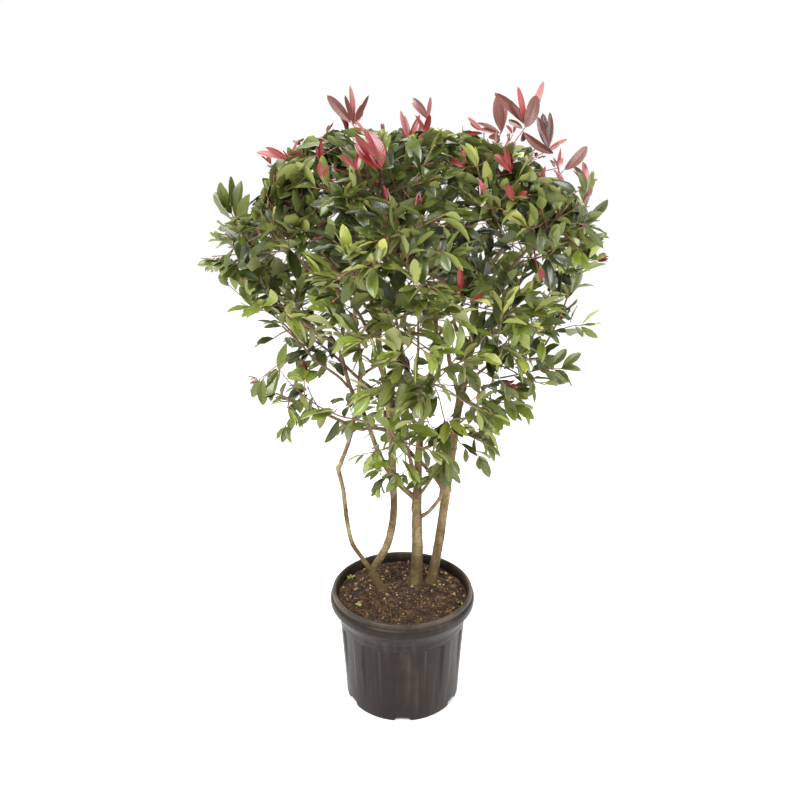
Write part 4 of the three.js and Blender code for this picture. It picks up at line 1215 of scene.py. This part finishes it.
def strewn_knots(limb, dice, kind):
    axis, knots = limb.axis, []
    at = dice.between(*kind["first"])
    while at < axis.length - kind["bare_end"]:
        share = at / axis.length
        direction = sideways(axis.tangent(share), dice.between(0, ROUND))
        height = dice.between(*kind["heights"]) * (limb.radius_at(share) if kind["in_radii"] else 1)
        knots.append((axis.point(share), direction, height, dice.between(*kind["widths"])))
        at += dice.between(*kind["gaps"])
    return knots


def make_limbs(stems, boughs, dice):
    bark = [bark_material("bark_stem", "7c6948", "3e3120", "a89670")]
    young_bark = [bark_material("bark_bough", "745e44", "3e2e1c", "9a8462")]
    forks = {stem.name: [] for stem in stems}
    for limb in [*boughs, *(stem for stem in stems if stem.name == FORKED_STEM)]:
        foot, direction = limb.axis.point(0), limb.axis.tangent(0.05)
        others = [stem for stem in stems if stem is not limb]
        parent = min(others, key=lambda stem: np.linalg.norm(stem.starts - foot, axis=1).min())
        place, height = foot + direction * FORK_KNOT["out"], FORK_KNOT["height"] * limb.radius_at(0)
        forks[parent.name].append((place, direction, height, FORK_KNOT["width"]))
    for stem in stems:
        shown = [(vec(*at), unit(vec(*towards)), *size) for at, towards, *size in KNOTS.get(stem.name, [])]
        knots = forks[stem.name] + shown + strewn_knots(stem, dice, STEM_BARK)
        below = 0 if stem.name == FORKED_STEM else BARK["below"]
        parts = make_bark(stem, stem.radius_at, knots, STEM_BARK, below)
        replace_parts(parts.piece(f"{stem.name}_bark", bark, "bark"), stem.name)
    joined = Parts()
    for bough in boughs:

        def with_collar(share, bough=bough):
            from_foot = np.exp(-share * bough.axis.length / COLLAR["length"])
            return bough.radius_at(share) * (1 + COLLAR["height"] * from_foot)

        parts = make_bark(bough, with_collar, strewn_knots(bough, dice, BOUGH_BARK), BOUGH_BARK)
        joined.add(parts.points[0], parts.faces[0], 0)
        joined.more_faces(parts.faces[1], 0)
    piece = joined.piece("boughs_bark", young_bark, "bark")
    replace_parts(piece, *[bough.name for bough in boughs])


# ---------- Leaves ----------

STATIONS = np.array([0, 0.08, 0.24, 0.42, 0.6, 0.78, 0.92, 1.0])
ABOVE = np.array([-1, -0.5, -0.05, 0.05, 0.5, 1])  # across the blade, in half widths; inmost is the rib
BELOW = np.array([-1, 0, 1])
RIB = 0.35  # half the midrib's width
BLADE = {
    "widest": 1.12,  # above 1 it lies nearer to the tip
    "foot": 0.05, "tip": 0.012,  # the least half widths
    "thickness": 0.5,
    "shortening": 0.12,  # of a drooping leaf
    "waves": 2.3, "wave_offset": 1.9,  # along the edge, and between its two sides
}
# A stalk leaves more along the twig and then bends more along the leaf.
STALK = {"more": 0.55, "less": 0.45, "radii": np.array([1.1, 0.75, 0.6]), "overlap": 3}

# Each tint's colours: the leaf from above, from below, its midrib and its stalk.
TINTS = {
    "deep": ("28300e", "646b38", "434f1e", "6e4c30"),
    "mid": ("3f4a12", "787f40", "5a6824", "7a4e32"),
    "olive": ("586026", "878c54", "71793e", "84503a"),
    "fresh": ("6a782a", "9aa056", "829044", "8c5a3c"),
    "lime": ("7e862c", "a4a454", "9c9e48", "9a6c3c"),
    "bronze": ("663c34", "8e6866", "80484a", "8a4440"),
    "purple": ("54383a", "7c5c60", "6c4648", "823e44"),
    "pink": ("9a5c58", "b08280", "ae706c", "a84c4c"),
    "red": ("8e3a3a", "a86666", "a25052", "a03a3c"),
    "crimson": ("6c1c1a", "8e4442", "842a2a", "8c2c2a"),
}


class Foliage:
    """Leaves that are joined into one piece. Each is a row of directions and sizes."""

    def __init__(self, fullness=LEAF["fullness"]):
        self.rows = []
        self.fullness = fullness

    def add(self, **facts):
        self.rows.append(facts)

    def columns(self, names):
        """Facts of all leaves, with room for the stations along and the points across a blade."""
        return (np.array([row[name] for row in self.rows], float)[:, None, None] for name in names.split())

    def sheet(self, base, across, lower):
        """Points over all blades, at shares of their half widths, and where each lies on its own."""
        direction, face, length, width = self.columns("direction face length width")
        fold, droop, arch, wave, phase, twist, bow = self.columns("fold droop arch wave phase twist bow")
        side = np.cross(face, direction)
        t = STATIONS[None, :, None]
        outline = np.sin(math.pi * t ** BLADE["widest"]) ** self.fullness
        half = width / 2 * np.maximum(outline, np.where(t < 0.5, BLADE["foot"], BLADE["tip"]))
        y = np.where(np.abs(across) < 0.1, np.sign(across) * np.minimum(RIB, half * 0.6), across * half)
        share = np.abs(y) / half
        lift = fold * np.abs(y) + arch * half * 4 * share * (1 - share)
        swing = 2 * math.pi * BLADE["waves"] * t + phase + BLADE["wave_offset"] * np.sign(y)
        ripple = wave * share**2 * np.sin(swing) * (half / width)
        x = length * (t - BLADE["shortening"] * np.abs(droop) * t**2)
        z = lift + ripple - lower * np.minimum(BLADE["thickness"], half * 0.3)
        places = np.stack(np.broadcast_arrays(x, y, phase), axis=-1)
        turn = twist * t
        y, z = y * np.cos(turn) - z * np.sin(turn), y * np.sin(turn) + z * np.cos(turn)
        z = z - droop * length * t**2
        y = y + bow * length * t**2
        points = base + x[..., None] * direction + y[..., None] * side + z[..., None] * face
        return points.reshape(len(self.rows), -1, 3), places.reshape(len(self.rows), -1, 3)

    def stalks(self, base, leaving):
        root, direction, face, length, stalk = self.columns("root direction face length stalk")
        side = np.cross(face, direction)
        middle = root + leaving * stalk[..., None] * 0.5
        ends = np.concatenate([root, middle, base + direction * STALK["overlap"]], axis=1)
        angles = np.arange(3) * 2 * math.pi / 3
        thick = STALK["radii"][:, None, None] * (length / LEAF["length"])[..., None]
        ring = np.cos(angles)[:, None] * side + np.sin(angles)[:, None] * face
        return (ends + thick * ring).reshape(len(self.rows), -1, 3)

    def piece(self, name, looks):
        root, twig, direction, stalk = self.columns("root twig direction stalk")
        more, less = STALK["more"], STALK["less"]
        leaving = unit(more * twig + less * direction)
        base = root + (less * leaving + more * direction) * stalk[..., None]
        above, above_places = self.sheet(base, ABOVE, 0)
        below, below_places = self.sheet(base, BELOW, BELOW == 0)
        stalks = self.stalks(base, leaving)
        points = np.concatenate([above, below, stalks], axis=1)
        places = np.concatenate([above_places, below_places, np.zeros_like(stalks)], axis=1)
        rows = len(STATIONS)
        top_faces = strips(rows, len(ABOVE), False)
        low_faces = strips(rows, len(BELOW), False)[:, ::-1] + above.shape[1]
        stalk_faces = strips(3, 3, True) + above.shape[1] + below.shape[1]
        faces = np.concatenate([top_faces, low_faces, stalk_faces])
        kinds = np.concatenate([
            np.tile([0, 0, 2, 0, 0], rows - 1), np.full(len(low_faces), 1), np.full(len(stalk_faces), 3),
        ])
        starts = np.arange(len(self.rows))[:, None, None] * points.shape[1]
        tints = sorted({row["tint"] for row in self.rows})
        slots = np.array([tints.index(row["tint"]) * 4 for row in self.rows])[:, None] + kinds
        parts = Parts()
        parts.add(points.reshape(-1, 3), (faces + starts).reshape(-1, 4), slots.ravel())
        parts.places.append(places.reshape(-1, 3))
        return parts.piece(name, [look for tint in tints for look in looks[tint]], "foliage")


def seen_from_front(points):
    """Where the camera sees points, across and up, on the upright plane through the pot's middle."""
    eye = np.array(CAMERA["place"]) * 1000
    share = eye[1] / (eye[1] - points[:, 1])
    return (eye + (points - eye) * share[:, None])[:, [0, 2]]


def cad_corners(mass):
    return np.array(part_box(f"leaves_{mass.name}")) * 1000


def crown_corners(masses):
    """The lowest and highest corner of all masses' solids, down to the ground."""
    corners = np.array([cad_corners(mass) for mass in masses])
    return corners[:, 0].min(axis=0) * (1, 1, 0), corners[:, 1].max(axis=0)


class Plot:
    """The space of a mass of foliage, and the limbs to keep clear of."""

    def __init__(self, mass, centres, tree, crown):
        self.mass, self.centres, self.tree = mass, centres, tree
        low, high = cad_corners(mass)
        self.low = np.maximum(low - REACH["mass"], crown[0] - REACH["plant"])
        self.high = np.minimum(high + REACH["mass"], crown[1] + REACH["plant"])

    def holds(self, points, slack, cell_slack):
        in_box = (points > self.low) & (points < self.high)
        in_cell = inside_cell(points, self.mass, self.centres, -cell_slack)
        seen = seen_from_front(points)
        is_closed = (np.linalg.norm(seen[:, None] - SKY[:, :2], axis=2) > SKY[:, 2]).all(axis=1)
        is_closed &= seen[:, 1] < np.interp(seen[:, 0], *GREEN_TOP.T)
        return (in_box.all(axis=1) & is_closed & inside_crown(points, slack) & in_cell).all()

    def is_clear(self, points, reach):
        return all(self.tree.find(point)[2] > reach for point in points)


def add_leaf(foliage, plot, dice, root, twig, bearing, angle, size, tint, facts):
    """One leaf, turned on round its twig until it fits. Where there is no room, none is added."""
    length = LEAF["length"] * size
    for turn in range(LEAF["turns"]):
        outwards = sideways(twig, bearing + turn * 2 * math.pi / LEAF["turns"])
        direction = unit(twig * math.cos(angle) + outwards * math.sin(angle) + UP * facts["lift"])
        tip = root + direction * (length + LEAF["stalk"])
        middle = root + direction * (0.55 * length + LEAF["stalk"])
        fits = plot is None or (
            plot.holds(np.array([tip, middle]), facts["slack"], facts["cell_slack"])
            and plot.is_clear([tip, middle], LEAF["clearance"])
        )
        if fits:
            break
    else:
        return
    sway = vec(dice.about(1), dice.about(1), dice.about(1)) * facts["sway"]
    light = UP * facts["light_up"] + outwards * LEAF["outwards"] + facts["out"] * facts["light_out"] + sway
    face = light - direction * np.dot(light, direction)
    shape = dice.shape({**LEAF_SHAPE, "droop": facts.get("droop", LEAF_SHAPE["droop"])})
    shape["width"] = length * LEAF["slimness"] * shape["width"] * facts.get("slim", 1)
    shape["stalk"] = LEAF["stalk"] * size * shape["stalk"]
    face = unit(face)
    foliage.add(root=root, twig=twig, direction=direction, face=face, length=length, tint=tint, **shape)


# ---------- Twigs ----------


def swayed(start, end, dice, amount):
    """A nearly straight line from one point to another, with a slight bow each way."""
    span = end - start
    reach = np.linalg.norm(span) * amount
    points = [start]
    for share in (1 / 3, 2 / 3):
        side = sideways(unit(span), dice.between(0, ROUND))
        points.append(start + span * share + side * reach * dice.between(0.3, 1))
    return through([*points, end])


class Twigs:
    """All twigs, joined into one piece, and the buds at their tips, joined into another."""

    def __init__(self):
        self.parts, self.buds = Parts(), Parts()

    def add(self, axis, foot, tip, sides, slot):
        steps = max(4, int(axis.length / TWIG["ring"]))
        shares = np.linspace(0, 1, steps + 1)
        nodes = 1 + TWIG["node"] * (np.arange(steps + 1) % 2)
        add_tube(self.parts, axis.points(shares), (foot + (tip - foot) * shares) * nodes, sides, slot)

    def add_bud(self, axis, size):
        points = axis.point(1) + BUD["shares"][:, None] * size * axis.tangent(1)
        add_tube(self.buds, points, size * BUD["radii"], BUD["sides"], 0)

    def make_pieces(self):
        colours = [twig_material(name, *pair) for name, pair in TWIG_COLOURS.items()]
        self.parts.piece("twigs", colours, "bark")
        self.buds.piece("buds", [twig_material("bud_red", *BUD["colours"])], "foliage")


def side_shoots(mass, centres, limbs):
    """The shoots of a mass, drawn as the CAD source draws them."""
    dice = Dice(SEED + SEED_STEP * (mass.index + 1))
    bearing = dice.bearing()
    lines = []
    start, end = mass.axis.ends()
    for i in range(MASS["shoots"]):
        share = MASS["first_shoot"] + MASS["shoot_stretch"] * (i + 0.5) / MASS["shoots"]
        foot = start + share * (end - start)
        spread = math.radians(MASS["spread"] + dice.about(MASS["spread_stray"]))
        outwards = sideways(mass.direction, bearing)
        direction = mass.direction * math.cos(spread) + outwards * math.sin(spread)
        room = room_along(foot, direction, mass, centres, MASS["longest"] + MASS["leaf_room"])
        length = max(MASS["shortest"], room - MASS["leaf_room"])
        points = foot + np.linspace(0, length, 9)[1:, None] * direction
        margin = MASS["margin"] + MASS["shoot"]
        bearing += GOLDEN_ANGLE
        if not (inside_crown(points) & inside_cell(points, mass, centres, margin)).all():
            continue
        if clear_of(points, MASS["shoot"] + MASS["clearance"], limbs).all():
            lines.append((foot, foot + direction * length))
    return lines


def add_leaves(foliage, plot, dice, axis, first, size, tint, facts):
    """Leaves along the outer part of a twig, each a golden angle on, and a rosette at its tip."""
    bearing = dice.bearing()
    at = first * axis.length
    while at < axis.length - LEAF["bare_end"]:
        root, along = axis.point(at / axis.length), axis.tangent(at / axis.length)
        angle = math.radians(LEAF["angle"] + dice.about(LEAF["stray"]))
        own = tint if dice.chance() < LEAF["own_tint"] else NEXT_TINT[tint]
        scale = size * dice.between(*LEAF["sizes"])
        add_leaf(foliage, plot, dice, root, along, bearing, angle, scale, own, facts)
        bearing += GOLDEN_ANGLE + dice.about(LEAF["turn_stray"])
        at += facts["spacing"] * dice.between(*LEAF["gaps"])
    for i in range(ROSETTE["leaves"]):
        root = axis.point(1 - (1 + ROSETTE["step"] * i) / axis.length)
        angle = math.radians(dice.between(*ROSETTE["angles"]))
        scale = size * dice.between(*ROSETTE["sizes"])
        turn = bearing + i * 2 * math.pi / ROSETTE["leaves"]
        own = "lime" if dice.chance() < ROSETTE["lime"] else tint
        add_leaf(foliage, plot, dice, root, axis.tangent(1), turn, angle, scale, own, facts)


def add_tip(foliage, twigs, dice, twig, facts):
    """A bud at a twig's tip, or now and then a tuft of small red leaves."""
    if dice.chance() > facts["young"]:
        if dice.chance() < BUD["share"]:
            twigs.add_bud(twig, dice.between(*BUD["sizes"]))
        return
    upright = {**facts, **TUFT["facts"]}
    for i in range(int(dice.between(*TUFT["leaves"]))):
        angle = math.radians(dice.between(*TUFT["angles"]))
        tint = dice.pick(TUFT["tints"])
        size = dice.between(*TUFT["sizes"])
        turn = i * GOLDEN_ANGLE
        add_leaf(foliage, None, dice, twig.point(1), twig.tangent(1), turn, angle, size, tint, upright)


def fitting_twig(start, direction, wanted, plot):
    """A twig's line that curves upwards, shortened until there is room for it, or none."""
    for share in TWIG["tries"]:
        length = share * wanted
        bend = (UP * TWIG["up"] + plot.mass.direction * TWIG["out"]) * TWIG["bend"] * length
        middle = start + direction * 0.5 * length + 0.2 * bend
        end = start + direction * length + bend
        points = np.array([middle, end])
        if length > TWIG["shortest"] and plot.holds(points, -TWIG["inside"], TWIG["slack"]):
            if plot.is_clear(points, TWIG["clearance"]):
                return through([start, middle, end])
    return None


def grow_twigs(axis, plot, dice, twigs, foliage, facts):
    """Twigs with leaves along a shoot. Each is as long as there is room for."""
    bearing = dice.bearing()
    at = TWIG["first"] * axis.length
    while at < axis.length - TWIG["bare_end"]:
        start, along = axis.point(at / axis.length), axis.tangent(at / axis.length)
        spread = math.radians(TWIG["spread"] + dice.about(TWIG["stray"]))
        direction = along * math.cos(spread) + sideways(along, bearing) * math.sin(spread)
        wanted = TWIG["longest"] * dice.between(*TWIG["lengths"])
        bearing += GOLDEN_ANGLE
        at += facts["twig_spacing"] * dice.between(*TWIG["gaps"])
        tint = dice.pick(facts["sprays"])
        spray = dict(facts, slack=facts["slack"] + dice.between(*SLACK_STRAY))
        is_kept = dice.chance() < facts["fullness"]
        twig = fitting_twig(start, direction, wanted, plot) if is_kept else None
        if twig:
            twigs.add(twig, *THIN_TWIG, int(dice.between(BROWN, RED)))
            add_leaves(foliage, plot, dice, twig, TWIG["leaves_from"], 1.0, tint, spray)
            add_tip(foliage, twigs, dice, twig, facts)


def grow_mass(mass, plot, limbs, dice, twigs, foliage):
    facts = dict(
        MASS_FACTS, **(SUNNY_FACTS if mass.tier in SUNNY else SHADY_FACTS), out=mass.direction,
        lift=LIFT * mass.lift, fullness=FULLNESS[mass.tier],
    )
    start, end = mass.axis.ends()
    leader = swayed(start - mass.direction * LEADER["behind"], end, dice, LEADER["sway"])
    twigs.add(leader, *LEADER["twig"])
    shoots = [leader]
    for foot, tip in side_shoots(mass, plot.centres, limbs):
        shoot = swayed(foot, tip, dice, SHOOT["sway"])
        twigs.add(shoot, *SHOOT["twig"])
        shoots.append(shoot)
    for shoot in shoots:
        grow_twigs(shoot, plot, dice, twigs, foliage, facts)
        tint = dice.pick(facts["sprays"])
        add_leaves(foliage, plot, dice, shoot, SHOOT["leaves_from"], 1.0, tint, facts)
        twigs.add_bud(shoot, dice.between(*SHOOT["buds"]))


def grow_single_shoot(points, foot, bare, lift, size, spacing, tint, dice, twigs, foliage):
    axis = through(points)
    facts = dict(SINGLE_FACTS, lift=lift, spacing=spacing)
    is_bough = foot > SINGLE["bough_foot"]
    tip = SINGLE["bough_taper"] * foot if is_bough else SINGLE["tip"]
    twigs.add(axis, foot, tip, SINGLE["sides"], OLD if is_bough else BROWN)
    if bare < 1:
        add_leaves(foliage, None, dice, axis, bare, size, tint, facts)
    add_tip(foliage, twigs, dice, axis, facts)


def grow_young_shoot(fork, leaves, turn, mass, dice, twigs, foliage):
    """Young leaves round a fork. Their tips stand in a plane that is turned from the front."""
    across = turned(ACROSS, UP, math.radians(turn))
    front = np.cross(across, UP)
    start = mass.axis.point(YOUNG["start"])
    rise = unit(fork - start)
    twigs.add(swayed(start, fork, dice, YOUNG["sway"]), *YOUNG["twig"])
    for i, (right, up, width, tint) in enumerate(leaves):
        root = fork - rise * YOUNG["step"] * i
        reach = math.hypot(right, up)
        tip = fork + across * right + UP * up + front * reach * dice.about(YOUNG["forwards"])
        direction = unit(tip - root)
        light = front + across * dice.about(YOUNG["light_across"]) + UP * dice.between(*YOUNG["light_up"])
        face = unit(light - direction * np.dot(light, direction))
        length = np.linalg.norm(tip - root) - YOUNG["stalk_room"]
        foliage.add(
            root=root, twig=rise, direction=direction, face=face, length=length, tint=tint,
            width=YOUNG["width"] * width,
            arch=YOUNG["arch"], stalk=YOUNG["stalk"], **dice.shape(YOUNG["shape"]),
        )


# ---------- The whole plant ----------


def leaf_looks():
    looks = {}
    for tint, (above, below, rib, stalk) in TINTS.items():
        looks[tint] = [
            leaf_material(f"leaf_{tint}_above", above, 0.36),
            leaf_material(f"leaf_{tint}_below", below, 0.58, veins=0.8, coat=0.0),
            twig_material(f"rib_{tint}", rib, rib),
            twig_material(f"stalk_{tint}", stalk, stalk),
        ]
    return looks


def limb_tree(limbs):
    points = []
    for limb in limbs:
        shares = np.linspace(0, 1, int(limb.axis.length / TREE_STEP) + 2)
        points.extend(limb.axis.points(shares))
    tree = kdtree.KDTree(len(points))
    for i, point in enumerate(points):
        tree.insert(point, i)
    tree.balance()
    return tree


def grow_foliage(masses, centres, limbs, dice, twigs):
    """The leaves of each tier, on the twigs of its masses."""
    tree, crown = limb_tree(limbs), crown_corners(masses)
    tiers = {}
    for mass in masses:
        foliage = tiers.setdefault(mass.tier, Foliage())
        grow_mass(mass, Plot(mass, centres, tree, crown), limbs, dice, twigs, foliage)
    return tiers


def grow_young_shoots(masses, centres, dice, twigs):
    young = Foliage(YOUNG["fullness"])
    shoots = [(fork, leaves, 0) for fork, leaves in YOUNG_SHOOTS]
    shoots += [(fork, YOUNG_SHOOTS[like][1], turn) for fork, like, turn in TURNED_SHOOTS]
    for place, leaves, turn in shoots:
        fork = np.array(place, float)
        mass = masses[int(np.linalg.norm(centres - fork, axis=1).argmin())]
        grow_young_shoot(fork, leaves, turn, mass, dice, twigs, young)
    return young


def make_plant():
    masses, centres = make_masses()
    stems = make_stems(masses)
    boughs = make_boughs(masses, stems)
    dice = Dice(LOOKS_SEED)
    make_pot()
    make_soil()
    make_litter(stems)
    make_limbs(stems, boughs, dice)
    looks = leaf_looks()
    twigs, outer = Twigs(), Foliage()
    tiers = grow_foliage(masses, centres, [*stems, *boughs], dice, twigs)
    for shoot in SINGLE_SHOOTS:
        grow_single_shoot(*shoot, dice, twigs, outer)
    young = grow_young_shoots(masses, centres, dice, twigs)
    for tier, foliage in tiers.items():
        piece = foliage.piece(f"foliage_{tier}", looks)
        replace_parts(piece, *[f"leaves_{mass.name}" for mass in masses if mass.tier == tier])
    outer.piece("foliage_outer", looks)
    young.piece("young_leaves", looks)
    make_soil_leaves(looks)
    twigs.make_pieces()


# ---------- Camera, floor and light ----------

FLOOR = {"half": 30, "height": -0.0006}
AIM = (0, 0, 1.1)
LAMPS = [  # name, place, size and power
    ("key_light", (-1.6, -2.4, 3.4), 2.0, 170),
    ("fill_light", (2.6, -1.8, 2.2), 2.2, 75),
    ("top_light", (0.2, 1.2, 3.9), 2.4, 110),
]


def make_floor():
    half = FLOOR["half"]
    corners = [(-half, -half, 0), (half, -half, 0), (half, half, 0), (-half, half, 0)]
    mesh = bpy.data.meshes.new("floor")
    mesh.from_pydata(corners, [], [(0, 1, 2, 3)])
    mesh.materials.append(Shader("floor_white", "ffffff", roughness=0.9, specular_ior_level=0).material)
    floor = add_object("floor", mesh)
    floor.location.z = FLOOR["height"]


def make_light():
    world = bpy.data.worlds.new("studio")
    world.use_nodes = True
    background = world.node_tree.nodes["Background"]
    background.inputs["Color"].default_value = (1, 1, 1, 1)
    background.inputs["Strength"].default_value = 1.0
    bpy.context.scene.world = world
    for name, place, size, power in LAMPS:
        data = bpy.data.lights.new(name, "AREA")
        data.shape, data.size, data.energy = "DISK", size, power
        lamp = add_object(name, data)
        lamp.location = place
        lamp.rotation_euler = (Vector(AIM) - Vector(place)).to_track_quat("-Z", "Y").to_euler()


def make_camera():
    data = bpy.data.cameras.new("camera")
    data.sensor_width, data.lens = 36, CAMERA["lens"]
    camera = add_object("camera", data)
    camera.location = CAMERA["place"]
    camera.rotation_euler = (math.radians(90 - CAMERA["down"]), 0, 0)
    bpy.context.scene.camera = camera
    bpy.context.scene.view_settings.view_transform = "Standard"


make_plant()
make_floor()
make_light()
make_camera()
